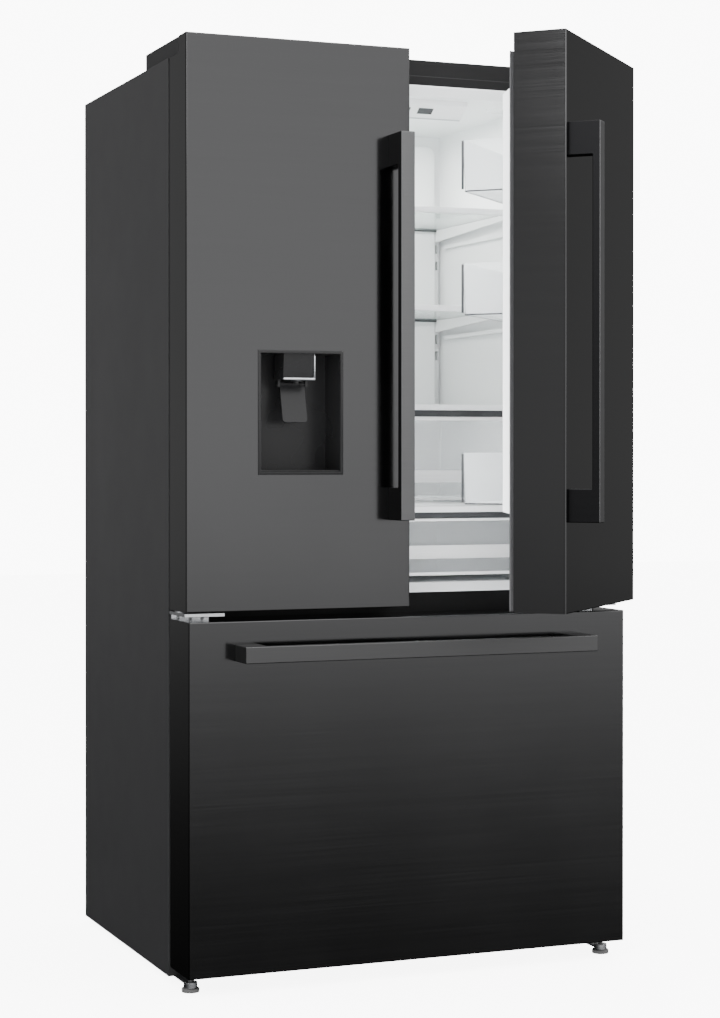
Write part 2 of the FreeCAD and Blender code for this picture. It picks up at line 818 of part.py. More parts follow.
def make_dispenser_housing():
    shell = recess_block(recess_wall, recess_depth + recess_wall).cut(recess_block(0, recess_depth))
    inner_half = recess_width / 2 - recess_play
    tray = box((recess_centre - inner_half, recess_centre + inner_half),
               (door_front + recess_wall, door_front + recess_depth - recess_play),
               (recess_bottom, recess_bottom + drip_tray_height))
    count = int(recess_width / drip_pitch) - 2
    slots = []
    for index in range(count):
        x = recess_centre - (count - 1) * drip_pitch / 2 + index * drip_pitch
        slots.append(box((x - drip_slot / 2, x + drip_slot / 2),
                         (door_front + drip_pitch, door_front + recess_depth - drip_pitch),
                         (recess_bottom + drip_tray_height / 2, recess_bottom + drip_tray_height)))
    return flipped(Part.makeCompound([shell, cut(tray, slots)]))


def make_dispenser_outlet():
    half = outlet_width / 2
    y = (door_front + outlet_setback, door_front + outlet_setback + outlet_depth)
    top = recess_bottom + recess_height
    profile = [(y[0], top), (y[0] + outlet_taper, outlet_bottom), (y[1], outlet_bottom), (y[1], top)]
    block = side_prism(profile, (recess_centre - half, recess_centre + half))
    block = rounded(block, edge_radius, lambda edge: edge.BoundBox.ZMax < top - edge_radius)
    lugs = []
    for side in (-1, 1):
        near = recess_centre + side * (paddle_width / 2 + running_gap)
        far = near + side * lug_thickness
        lugs.append(box((min(near, far), max(near, far)), (pivot_y - lug_depth / 2, pivot_y + lug_depth / 2),
                        (pivot_z - lug_depth / 2, outlet_bottom + edge_radius)))
    spout = round_bar(spout_radius, Vec(recess_centre, y[0] + outlet_depth / 3, outlet_bottom - spout_length),
                      UP, spout_length + edge_radius)
    hole = round_bar(paddle_pin + pin_play, Vec(recess_centre - outlet_width, pivot_y, pivot_z), RIGHT,
                     2 * outlet_width)
    return flipped(joined([block] + lugs + [spout]).cut(hole))


def make_dispenser_paddle():
    half = paddle_width / 2
    barrel = round_bar(paddle_barrel, Vec(recess_centre - half, pivot_y, pivot_z), RIGHT, paddle_width)
    pin = round_bar(paddle_pin, Vec(recess_centre - half - paddle_pin_length, pivot_y, pivot_z), RIGHT,
                    paddle_width + 2 * paddle_pin_length)
    plate = box((recess_centre - half, recess_centre + half),
                (pivot_y - paddle_thickness / 2, pivot_y + paddle_thickness / 2),
                (pivot_z - paddle_length, pivot_z))
    plate = rounded(plate, edge_radius * 3, lambda edge: edge.BoundBox.ZMax < pivot_z - paddle_length + 1
                    and edge.BoundBox.XLength < 1 and edge.BoundBox.YLength > 1)
    plate.rotate(Vec(0, pivot_y, pivot_z), RIGHT, -paddle_lean)
    return flipped(joined([barrel, pin, plate]))


def make_water_tank():
    x = bin_span()
    y = (door_back + running_gap, door_back + tank_reach)
    lid_bottom = tank_bottom + tank_height - tank_wall
    body = open_box(x, y, (tank_bottom, lid_bottom), tank_wall)
    lid = box(x, y, (lid_bottom, lid_bottom + tank_wall))
    return flipped(Part.makeCompound([body, lid]))


# ---- fresh food fittings ---------------------------------------------------------------------------
def shelf_span(side):
    low, high = shelf_split / 2, shelf_x - shelf_side_gap
    return (low, high) if side > 0 else (-high, -low)


def make_shelf_glass():
    panes = []
    for top in shelf_tops:
        for side in (-1, 1):
            panes.append(box(shelf_span(side), (shelf_front + shelf_trim_depth, shelf_back),
                             (top - shelf_glass, top)))
    half = shelf_x - shelf_side_gap
    panes.append(box(symmetric(half), (shelf_front + shelf_trim_depth, shelf_back),
                     (crisper_cover_top - shelf_glass, crisper_cover_top)))
    return Part.makeCompound(panes)


def make_shelf_frames():
    """Front trims with a lip under the glass, and cantilever brackets hooked in the tracks."""
    frames = []
    for top in shelf_tops:
        for side in (-1, 1):
            span = shelf_span(side)
            trim = joined([
                box(span, (shelf_front, shelf_front + shelf_trim_depth), (top - shelf_trim_height, top)),
                box(span, (shelf_front, shelf_front + shelf_trim_depth + shelf_lip),
                    (top - shelf_trim_height, top - shelf_glass))])
            frames.append(trim)
            for x in (side * track_centre_width / 3, side * (shelf_x - duct_side_gap + track_width / 2)):
                frames.append(make_bracket(x, top - shelf_glass))
    return Part.makeCompound(frames)


def make_bracket(x, top):
    start = shelf_front + shelf_trim_depth + shelf_lip
    profile = [(start, top), (start, top - bracket_height / 3), (shelf_back, top - bracket_height),
               (fresh_back - duct_depth, top - bracket_height), (fresh_back - duct_depth, top)]
    thickness = (x - bracket_thickness / 2, x + bracket_thickness / 2)
    hook = box(thickness, (fresh_back - duct_depth, fresh_back - duct_depth + hook_length),
               (top - track_slot_height / 2, top - track_slot_height / 2 + hook_length))
    return joined([side_prism(profile, thickness), hook])


def track_slots(x, width):
    """Slots of one track, placed so that each shelf's hooks meet one."""
    slots = []
    for top in shelf_tops:
        hook_z = top - shelf_glass - track_slot_height / 2
        for step in (-2, -1, 0):
            low = hook_z - hook_length + step * track_slot_pitch
            if low > track_bottom:
                slots.append(box((x - width / 2, x + width / 2),
                                 (fresh_back - duct_depth, fresh_back - liner),
                                 (low, low + track_slot_height)))
    return slots


def track_bar(x, width):
    return box((x - width / 2, x + width / 2), (fresh_back - track_depth, fresh_back),
               (track_bottom, track_top))


def make_shelf_tracks():
    side_x = shelf_x - duct_side_gap + track_width / 2
    right = cut(track_bar(side_x, track_width), track_slots(side_x, track_slot_width))
    middle_slots = []
    for x in (-track_centre_width / 3, track_centre_width / 3):
        middle_slots += track_slots(x, bracket_thickness + 2)
    middle = cut(track_bar(0, track_centre_width), middle_slots)
    return Part.makeCompound([right, flipped(right), middle])


def make_air_duct_panel():
    half = shelf_x - duct_side_gap
    z = (crisper_cover_top + shelf_trim_height, fresh_ceiling - duct_top_gap)
    panel = box(symmetric(half), (fresh_back - duct_depth, fresh_back), z)
    panel = rounded(panel, duct_corner, lambda edge: edge.BoundBox.ZMin > z[1] - 1
                    and edge.BoundBox.XLength < 1 and edge.BoundBox.YLength > 1)
    tools = [box(symmetric(track_centre_width / 2), (fresh_back - duct_depth, fresh_back),
                 (track_bottom, track_top))]
    for height in duct_vent_heights:
        for side in (-1, 1):
            middle = side * half / 2
            tools.append(box((middle - duct_vent_width / 2, middle + duct_vent_width / 2),
                             (fresh_back - duct_depth, fresh_back - duct_depth / 2),
                             (height, height + duct_vent_height)))
    return cut(panel, tools)


def make_control_panel():
    profile = [(front + gap, fresh_ceiling - drop) for gap, drop in control_points]
    return side_prism(profile, symmetric(control_half_width))


def make_ceiling_light():
    y = (front + light_gap, front + light_gap + light_depth)
    lens = box(symmetric(light_half_width), y, (fresh_ceiling - light_thickness, fresh_ceiling))
    return rounded(lens, edge_radius, lambda edge: edge.BoundBox.ZMax < fresh_ceiling - 1)


def make_crisper_cover():
    half = shelf_x - shelf_side_gap
    z = (cover_underside, crisper_cover_top - shelf_glass)
    y = (shelf_front + shelf_trim_depth, shelf_back)
    trim = box(symmetric(half), (shelf_front, shelf_front + shelf_trim_depth),
               (cover_underside, crisper_cover_top))
    lip = box(symmetric(half), (shelf_front, y[0] + shelf_lip), z)
    side = box((half - ledge_width / 2, half), y, z)
    centre = box(symmetric(partition_thickness), y, z)
    partition = box(symmetric(partition_thickness / 2), (crisper_front_y + runner_width, shelf_back),
                    (base_shelf_top, cover_underside))
    return joined([trim, lip, side, flipped(side), centre, partition])


def make_crisper_base_shelf():
    wide = throat_x - shelf_side_gap
    narrow = shelf_x - shelf_side_gap
    step = front + door_zone_depth
    right_side = [(wide, front + base_shelf_front_gap), (wide, step - shelf_side_gap),
                  (narrow, step + zone_step - shelf_side_gap), (narrow, shelf_back)]
    left_side = [(-x, y) for x, y in reversed(right_side)]
    return plan_prism(right_side + left_side, (base_shelf_top - base_shelf_thickness, base_shelf_top))


def make_crisper(side):
    x = (crisper_centre_gap, shelf_x - crisper_side_gap)
    y = (crisper_front_y, fresh_back - crisper_back_gap)
    tray = open_box(x, y, (crisper_bottom, crisper_bottom + crisper_height), crisper_wall, crisper_front)
    runners = []
    for low in (x[0] + runner_width, x[1] - 2 * runner_width):
        runners.append(box((low, low + runner_width), (y[0] + runner_width, y[1]),
                           (base_shelf_top + running_gap, crisper_bottom)))
    whole = joined([tray] + runners)
    return whole if side > 0 else flipped(whole)


def make_pantry_drawer():
    front_y = front + pantry_front_gap
    z = (pantry_bottom, pantry_bottom + pantry_height)
    plate = box(symmetric(throat_x - pantry_side_gap), (front_y, front_y + pantry_front), z)
    body_x = shelf_x - ledge_width - running_gap * 10
    y = (front_y + pantry_front, fresh_back - crisper_back_gap)
    tray = open_box(symmetric(body_x), y, z, crisper_wall)
    runner = box((body_x - 2 * runner_width, body_x - runner_width), (y[0] + runner_width, y[1]),
                 (fresh_floor + running_gap, pantry_bottom))
    return joined([plate, tray, runner, flipped(runner)])


# ---- freezer drawer ----------------------------------------------------------------------------------
def make_drawer_panel():
    outer = box(symmetric(half_width), (drawer_front, door_back), (drawer_bottom, drawer_top))
    outer = rounded(outer, edge_radius, on_plane_y(drawer_front))
    inside = box(symmetric(inside_case), (drawer_front + sheet, door_back),
                 (drawer_bottom + sheet, drawer_top - sheet))
    groove = seam(symmetric(half_width), drawer_front, (drawer_bottom, drawer_top))
    return cut(outer, [inside, groove])


def make_drawer_foam():
    return box(symmetric(inside_case), (drawer_front + sheet, door_back - door_liner),
               (drawer_bottom + sheet, drawer_top - sheet))


def make_drawer_liner():
    return box(symmetric(inside_case), (door_back - door_liner, door_back),
               (drawer_bottom + sheet, drawer_top - sheet))


def make_drawer_gasket():
    outer_x = mouth_x + gasket_on_frame + gasket_width
    y = (door_back, front - running_gap)
    outer = box(symmetric(outer_x), y, (drawer_gasket_bottom, drawer_gasket_top))
    inner = box(symmetric(outer_x - gasket_width), y,
                (drawer_gasket_bottom + gasket_width, drawer_gasket_top - gasket_width))
    return outer.cut(inner)


def make_drawer_handle():
    return make_handle(symmetric(drawer_handle_length / 2), drawer_front,
                       (drawer_handle_bottom, drawer_handle_bottom + drawer_handle_height),
                       drawer_handle_post)


def rail_x(order):
    """X span of the rail that is order places in from the freezer's wall."""
    outer = throat_x - order * (rail_thickness + running_gap)
    return (outer - rail_thickness, outer)


def make_rail_pair(order):
    y = (front + rail_front_gap, front + rail_front_gap + rail_length)
    return both_sides(box(rail_x(order), y, (rail_bottom, rail_bottom + rail_height)))


def make_drawer_rails():
    x = rail_x(2)
    bar = box(x, (door_back, front + rail_front_gap + rail_length),
              (rail_bottom, rail_bottom + rail_height))
    lip_z = (lower_basket_top - basket_rim * 2, lower_basket_top - basket_rim)
    lip = box((throat_x - basket_side_gap + running_gap, x[1]),
              (door_back, throat_y + lower_basket_depth), lip_z)
    return both_sides(joined([bar, lip]))


def make_basket(bottom, top, depth, near):
    """Open basket with its half width and its span in Y."""
    half = throat_x - basket_side_gap
    y = (near, near + depth)
    tray = open_box(symmetric(half), y, (bottom, top), basket_wall)
    return tray, half, y


def make_lower_basket():
    near = door_back + basket_front_gap
    tray, half, y = make_basket(lower_basket_bottom, lower_basket_top, lower_basket_depth, near)
    rim = box((half - basket_wall, rail_x(2)[0] - running_gap), y,
              (lower_basket_top - basket_rim, lower_basket_top))
    return joined([tray, rim, flipped(rim)])


def make_upper_basket():
    near = throat_y + basket_front_gap
    top = upper_basket_bottom + upper_basket_height
    tray, half, y = make_basket(upper_basket_bottom, top, upper_basket_depth - basket_side_gap, near)
    rim = box((half - basket_wall, throat_x - rail_thickness), y,
              (upper_basket_bottom, upper_basket_bottom + basket_rim))
    return joined([tray, rim, flipped(rim)])


# ---- cooling -----------------------------------------------------------------------------------------
def fin_pack(x, y, z, count, tube_z):
    """Row of fins on straight tubes that run along X."""
    pitch = (x[1] - x[0] - fin_thickness) / (count - 1)
    fins = []
    for index in range(count):
        low = x[0] + index * pitch
        fins.append(box((low, low + fin_thickness), y, z))
    tubes = [round_bar(tube_radius, Vec(x[0] - tube_radius, (y[0] + y[1]) / 2, height), RIGHT,
                       x[1] - x[0] + 2 * tube_radius) for height in tube_z]
    return joined(fins + tubes)


def fan_wheel(centre, radius):
    """Hub with twisted blades, turning about Y on a shaft."""
    hub = round_bar(fan_hub_radius, centre, BACK, fan_hub_length)
    blades = []
    for index in range(fan_blades):
        blade = box(symmetric(fan_blade_thickness / 2), symmetric(fan_hub_length / 2), (0, radius))
        blade.rotate(Vec(0, 0, 0), UP, fan_blade_twist)
        blade.rotate(Vec(0, 0, 0), BACK, index * 360 / fan_blades)
        blade.translate(centre + BACK * (fan_hub_length / 2))
        blades.append(blade)
    bore = round_bar(fan_shaft + pin_play, centre, BACK, fan_hub_length)
    return joined([hub] + blades).cut(bore)


def fan_motor(centre):
    """Motor behind the wheel with its shaft through the hub."""
    start = centre + BACK * (fan_hub_length + running_gap)
    body = round_bar(motor_radius, start, BACK, motor_length)
    return joined([body, round_bar(fan_shaft, centre, BACK, fan_hub_length + motor_length)])


evaporator_y = freezer_back - evaporator_depth - edge_radius
evaporator_fan_centre = Vec(0, freezer_back - evaporator_cover_gap - fan_hub_length - edge_radius * 3,
                            evaporator_fan_height)
condenser_fan_centre = Vec(condenser_fan_x, machine_middle_y - fan_hub_length, condenser_fan_height)


def make_evaporator():
    pitch = evaporator_height / (tube_rows + 1)
    heights = [evaporator_bottom + pitch * (row + 1) for row in range(tube_rows)]
    return fin_pack(symmetric(evaporator_half_width), (evaporator_y, freezer_back),
                    (evaporator_bottom, evaporator_bottom + evaporator_height), fin_count, heights)


def make_evaporator_cover():
    """Plate in front of the evaporator; a ring round the fan's mouth and the motor's seat."""
    y = freezer_back - evaporator_cover_gap
    plate = box(symmetric(throat_x - running_gap), (y, y + evaporator_cover_sheet),
                (freezer_step_height, freezer_ceiling))
    mouth = round_bar(evaporator_fan_radius + edge_radius, Vec(0, y, evaporator_fan_height), BACK,
                      evaporator_cover_sheet)
    plate = plate.cut(mouth)
    strut = box((-motor_strut / 2, motor_strut / 2), (y, y + evaporator_cover_sheet),
                symmetric_about(evaporator_fan_height, evaporator_fan_radius + edge_radius * 2))
    motor_front = evaporator_fan_centre + BACK * (fan_hub_length + running_gap)
    motor = round_bar(motor_radius, motor_front, BACK, motor_length)
    shaft = round_bar(fan_shaft, evaporator_fan_centre, BACK, fan_hub_length + motor_length / 2)
    return joined([plate, strut, motor, shaft])


def symmetric_about(middle, half):
    return (middle - half, middle + half)


def make_compressor():
    base = Vec(compressor_x, machine_middle_y, base_sheet)
    pot_base = base + UP * compressor_foot_height
    pot = round_bar(compressor_radius, pot_base, UP, compressor_height)
    pot = rounded(pot, compressor_dome, lambda edge: len(edge.Vertexes) == 1)
    foot_top = base_sheet + compressor_foot_height
    plate_z = (foot_top - leg_strap, foot_top + edge_radius)
    plate = box(symmetric_about(compressor_x, compressor_radius),
                symmetric_about(machine_middle_y, compressor_radius), plate_z)
    mounts = []
    for dx in (-1, 1):
        for dy in (-1, 1):
            corner = Vec(compressor_x + dx * (compressor_radius - motor_strut),
                         machine_middle_y + dy * (compressor_radius - motor_strut), base_sheet)
            mounts.append(round_bar(motor_strut, corner, UP, compressor_foot_height - leg_strap))
    core = round_bar(compressor_radius / 2, pot_base - UP * leg_strap, UP, compressor_dome)
    pot = joined([pot, core, plate])
    return Part.makeCompound([pot] + mounts)


def make_condenser():
    pitch = condenser_height / (tube_rows + 1)
    heights = [base_sheet + pitch * (row + 1) for row in range(tube_rows)]
    return fin_pack((condenser_left, condenser_left + condenser_width),
                    symmetric_about(machine_middle_y, condenser_depth / 2),
                    (base_sheet, base_sheet + condenser_height), condenser_fins, heights)


def make_condenser_fan_shroud():
    y = condenser_fan_centre.y - shroud_thickness
    plate = box(symmetric_about(condenser_fan_x, shroud_half),
                (y, condenser_fan_centre.y + fan_hub_length),
                (base_sheet, condenser_fan_height + shroud_half))
    mouth = round_bar(condenser_fan_radius + edge_radius, Vec(condenser_fan_x, y, condenser_fan_height),
                      BACK, fan_hub_length + shroud_thickness)
    behind = condenser_fan_centre + BACK * (fan_hub_length + running_gap)
    strut = box(symmetric_about(condenser_fan_x, shroud_half), (behind.y, behind.y + leg_strap),
                symmetric_about(condenser_fan_height, motor_strut))
    tie = box((condenser_fan_x + shroud_half - motor_strut / 2, condenser_fan_x + shroud_half),
              (condenser_fan_centre.y, behind.y + leg_strap),
              symmetric_about(condenser_fan_height, motor_strut))
    return joined([plate.cut(mouth), strut, tie, fan_motor(condenser_fan_centre)])


def make_drain_pan():
    left = condenser_fan_x + shroud_half + drain_pan_gap
    return open_box((left, half_width - drain_pan_from_side),
                    symmetric_about(machine_middle_y, drain_pan_depth / 2),
                    (base_sheet, base_sheet + drain_pan_height), drain_pan_wall)


# ---- all nodes -----------------------------------------------------------------------------------------
recess_tool = recess_block(recess_wall + recess_play, recess_depth + recess_wall)
nodes = {
    "outer_case": make_outer_case(),
    "back_panel": make_back_panel(),
    "base_plate": make_base_plate(),
    "cabinet_foam": make_cabinet_foam(),
    "front_frame": make_front_frame(),
    "fresh_food_liner": make_fresh_food_liner(),
    "freezer_liner": make_freezer_liner(),
    "air_duct_panel": make_air_duct_panel(),
    "shelf_tracks": make_shelf_tracks(),
    "control_panel": make_control_panel(),
    "ceiling_light": make_ceiling_light(),
    "shelf_glass": make_shelf_glass(),
    "shelf_frames": make_shelf_frames(),
    "crisper_cover": make_crisper_cover(),
    "crisper_base_shelf": make_crisper_base_shelf(),
    "left_crisper": make_crisper(-1),
    "right_crisper": make_crisper(1),
    "pantry_drawer": make_pantry_drawer(),
    "top_cover": make_top_cover(),
    "door_hinges": make_door_hinges(),
    "leg_brackets": make_leg_brackets(),
    "left_foot": make_foot(-1),
    "right_foot": make_foot(1),
    "rear_rollers": both_sides(make_roller()),
    "compressor": make_compressor(),
    "condenser": make_condenser(),
    "condenser_fan_shroud": make_condenser_fan_shroud(),
    "condenser_fan": fan_wheel(condenser_fan_centre, condenser_fan_radius),
    "drain_pan": make_drain_pan(),
    "machine_cover": make_machine_cover(),
    "evaporator": make_evaporator(),
    "evaporator_cover": make_evaporator_cover(),
    "evaporator_fan": fan_wheel(evaporator_fan_centre, evaporator_fan_radius),
    "cabinet_rails": make_rail_pair(0),
    "middle_rails": make_rail_pair(1),
    "drawer_rails": make_drawer_rails(),
    "drawer_panel": make_drawer_panel(),
    "drawer_foam": make_drawer_foam(),
    "drawer_liner": make_drawer_liner(),
    "drawer_gasket": make_drawer_gasket(),
    "drawer_handle": make_drawer_handle(),
    "lower_basket": make_lower_basket(),
    "upper_basket": make_upper_basket(),
    "left_door_panel": flipped(make_door_panel([recess_tool])),
    "left_door_foam": flipped(make_door_foam([recess_tool])),
    "left_door_liner": make_left_door_liner(),
    "left_door_gasket": flipped(make_door_gasket()),
    "left_handle": flipped(make_door_handle()),
    "left_door_bins": flipped(Part.makeCompound([make_bin(z) for z in bin_bottoms[1:]])),
    "water_tank": make_water_tank(),
    "dispenser_housing": make_dispenser_housing(),
    "dispenser_outlet": make_dispenser_outlet(),
    "dispenser_paddle": make_dispenser_paddle(),
    "mullion_flap": make_mullion_flap(),
    "right_door_panel": ajar(make_door_panel([])),
    "right_door_foam": ajar(make_door_foam([])),
    "right_door_liner": ajar(make_door_liner()),
    "right_door_gasket": ajar(make_door_gasket()),
    "right_handle": ajar(make_door_handle()),
    "right_door_bins": ajar(Part.makeCompound([make_bin(z) for z in bin_bottoms])),
}

for name, shape in nodes.items():
    shape.exportStep(os.path.join("parts", name + ".step"))
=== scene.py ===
import json
import math

import bmesh
import bpy
from mathutils import Matrix, Vector


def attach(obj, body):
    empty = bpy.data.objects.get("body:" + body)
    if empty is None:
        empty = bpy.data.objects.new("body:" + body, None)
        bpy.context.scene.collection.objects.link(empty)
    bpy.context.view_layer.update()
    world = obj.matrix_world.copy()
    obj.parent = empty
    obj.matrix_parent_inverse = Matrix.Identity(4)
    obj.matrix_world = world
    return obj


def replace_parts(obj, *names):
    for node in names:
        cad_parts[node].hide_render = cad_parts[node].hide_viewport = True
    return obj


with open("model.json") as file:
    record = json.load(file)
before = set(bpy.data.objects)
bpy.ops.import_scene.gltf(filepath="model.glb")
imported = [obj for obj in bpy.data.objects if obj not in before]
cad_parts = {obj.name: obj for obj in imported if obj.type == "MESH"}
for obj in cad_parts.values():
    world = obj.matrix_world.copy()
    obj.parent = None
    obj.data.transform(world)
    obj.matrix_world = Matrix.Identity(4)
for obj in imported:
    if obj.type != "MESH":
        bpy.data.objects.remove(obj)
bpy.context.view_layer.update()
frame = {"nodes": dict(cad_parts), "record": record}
nodes = frame["nodes"]

# Sizes repeated from the CAD model, in metres. The right door is drawn shut, then turned to its rest pose.
HINGE = Vector((0.4445, -0.3442, 0.0))
AJAR = math.radians(45.0)
DOOR_FRONT = -0.4144
DOOR_BACK = -0.3124
CABINET_FRONT = -0.302
GASKET_OUTER = 0.430
FLOOR_Z = -0.0145
SHARP_ANGLE = math.radians(35.0)


# ---- node materials ------------------------------------------------------------------------------
def new_material(name, base=None, rough=None, metal=None, **sockets):
    material = bpy.data.materials.new(name)
    material.use_nodes = True
    tree = material.node_tree
    shader = tree.nodes["Principled BSDF"]
    if base is not None:
        shader.inputs["Base Color"].default_value = (*base, 1.0)
    if rough is not None:
        shader.inputs["Roughness"].default_value = rough
    if metal is not None:
        shader.inputs["Metallic"].default_value = metal
    for key, value in sockets.items():
        shader.inputs[key.replace("_", " ")].default_value = value
    return material, tree, shader


def noise(tree, scale, detail=3.0, roughness=0.5, size=1.0):
    """Noise stretched by scale along X, Y and Z, in the object's own space."""
    coords = tree.nodes.new("ShaderNodeTexCoord")
    mapping = tree.nodes.new("ShaderNodeMapping")
    mapping.inputs["Scale"].default_value = scale
    texture = tree.nodes.new("ShaderNodeTexNoise")
    texture.inputs["Scale"].default_value = size
    texture.inputs["Detail"].default_value = detail
    texture.inputs["Roughness"].default_value = roughness
    tree.links.new(coords.outputs["Object"], mapping.inputs["Vector"])
    tree.links.new(mapping.outputs["Vector"], texture.inputs["Vector"])
    return texture.outputs["Fac"]


def ramp(tree, factor, stops):
    """Colour ramp through (position, colour) stops."""
    node = tree.nodes.new("ShaderNodeValToRGB")
    elements = node.color_ramp.elements
    while len(elements) < len(stops):
        elements.new(0.5)
    for element, (position, colour) in zip(elements, stops):
        element.position = position
        element.color = (*colour, 1.0)
    tree.links.new(factor, node.inputs["Fac"])
    return node.outputs["Color"]


def spread(tree, factor, low, high):
    """Map a noise factor's middle range onto low..high."""
    node = tree.nodes.new("ShaderNodeMapRange")
    node.inputs["From Min"].default_value = 0.3
    node.inputs["From Max"].default_value = 0.7
    node.inputs["To Min"].default_value = low
    node.inputs["To Max"].default_value = high
    tree.links.new(factor, node.inputs["Value"])
    return node.outputs["Result"]


def bump(tree, shader, height, strength, distance, edge=0.0):
    """Bump the shader's normal, over softly rounded edges where edge is their radius."""
    node = tree.nodes.new("ShaderNodeBump")
    node.inputs["Strength"].default_value = strength
    node.inputs["Distance"].default_value = distance
    tree.links.new(height, node.inputs["Height"])
    if edge:
        bevel = tree.nodes.new("ShaderNodeBevel")
        bevel.samples = 4
        bevel.inputs["Radius"].default_value = edge
        tree.links.new(bevel.outputs["Normal"], node.inputs["Normal"])
    tree.links.new(node.outputs["Normal"], shader.inputs["Normal"])


def shade(colour, factor):
    return tuple(channel * factor for channel in colour)


def brushed(name, base, grain, rough, edge=0.0008, contrast=0.12, metal=1.0):
    """Metal with fine lines along one way, drawn as noise stretched by grain, and faint smears."""
    material, tree, shader = new_material(name, metal=metal)
    lines = noise(tree, grain, 2.0, 0.6)
    smears = noise(tree, (3.0, 3.0, 2.0), 4.0)
    colour = ramp(tree, lines, [(0.3, shade(base, 1 - contrast)), (0.7, shade(base, 1 + contrast))])
    tree.links.new(colour, shader.inputs["Base Color"])
    mixed = tree.nodes.new("ShaderNodeMath")
    mixed.operation = "ADD"
    tree.links.new(spread(tree, lines, -0.04, 0.04), mixed.inputs[0])
    tree.links.new(spread(tree, smears, rough - 0.03, rough + 0.03), mixed.inputs[1])
    tree.links.new(mixed.outputs["Value"], shader.inputs["Roughness"])
    bump(tree, shader, lines, 0.12, 0.00015, edge)
    return material


def moulded(name, base, rough, texture_size=700.0, depth=0.25, edge=0.0008, variation=0.06, **sockets):
    """Moulded plastic or paint: fine grain in its surface and a slight change of tone."""
    material, tree, shader = new_material(name, **sockets)
    tone = noise(tree, (4.0, 4.0, 4.0), 3.0)
    colour = ramp(tree, tone, [(0.3, shade(base, 1 - variation)), (0.7, base)])
    tree.links.new(colour, shader.inputs["Base Color"])
    grain = noise(tree, (texture_size,) * 3, 2.0)
    tree.links.new(spread(tree, tone, rough - 0.04, rough + 0.04), shader.inputs["Roughness"])
    bump(tree, shader, grain, depth, 0.0001, edge)
    return material


def clear(name, base, low, high, rough=0.08):
    """Clear plastic or glass: thin face on, denser where it is seen edge on."""
    material, tree, shader = new_material(name, rough=rough)
    shader.inputs["Specular IOR Level"].default_value = 0.8
    tone = noise(tree, (6.0, 6.0, 6.0), 2.0)
    colour = ramp(tree, tone, [(0.3, shade(base, 0.96)), (0.7, base)])
    tree.links.new(colour, shader.inputs["Base Color"])
    facing = tree.nodes.new("ShaderNodeLayerWeight")
    facing.inputs["Blend"].default_value = 0.35
    weight = tree.nodes.new("ShaderNodeMapRange")
    weight.inputs["To Min"].default_value = low
    weight.inputs["To Max"].default_value = high
    tree.links.new(facing.outputs["Facing"], weight.inputs["Value"])
    tree.links.new(weight.outputs["Result"], shader.inputs["Alpha"])
    ripple = noise(tree, (90.0, 90.0, 90.0), 1.0)
    bump(tree, shader, ripple, 0.05, 0.0002)
    return material


def facing_shaded(name, front, side, rough):
    """Brushed bar with a lighter colour painted on the faces turned to the front and a darker one on its
    other sides, picked by which way each face turns: painted highlight and painted shade.
    """
    material, tree, shader = new_material(name, metal=1.0)
    lines = noise(tree, FINE_LEVEL, 2.0, 0.6)
    bright = ramp(tree, lines, [(0.3, shade(front, 0.94)), (0.7, shade(front, 1.06))])
    dark = ramp(tree, lines, [(0.3, shade(side, 0.94)), (0.7, shade(side, 1.06))])
    # Faces turned towards this direction get the lighter colour as painted highlight, the others the darker
    # colour as painted shade.
    coords = tree.nodes.new("ShaderNodeTexCoord")
    turned = tree.nodes.new("ShaderNodeVectorMath")
    turned.operation = "DOT_PRODUCT"
    turned.inputs[1].default_value = Vector((0.38, -0.92, 0.0)).normalized()
    tree.links.new(coords.outputs["Normal"], turned.inputs[0])
    lit_mask = tree.nodes.new("ShaderNodeMapRange")
    lit_mask.inputs["From Min"].default_value = 0.55
    lit_mask.inputs["From Max"].default_value = 0.80
    tree.links.new(turned.outputs["Value"], lit_mask.inputs["Value"])
    mix = tree.nodes.new("ShaderNodeMix")
    mix.data_type = "RGBA"
    tree.links.new(lit_mask.outputs["Result"], mix.inputs["Factor"])
    tree.links.new(dark, mix.inputs["A"])
    tree.links.new(bright, mix.inputs["B"])
    tree.links.new(mix.outputs["Result"], shader.inputs["Base Color"])
    tree.links.new(spread(tree, lines, rough - 0.03, rough + 0.03), shader.inputs["Roughness"])
    bump(tree, shader, lines, 0.10, 0.0001, 0.0008)
    return material


def glowing(name, base, strength):
    material, tree, shader = new_material(name, base=base, rough=0.4)
    grain = noise(tree, (500.0,) * 3, 1.0)
    shader.inputs["Emission Color"].default_value = (1.0, 0.98, 0.94, 1.0)
    shader.inputs["Emission Strength"].default_value = strength
    bump(tree, shader, grain, 0.1, 0.0002)
    return material


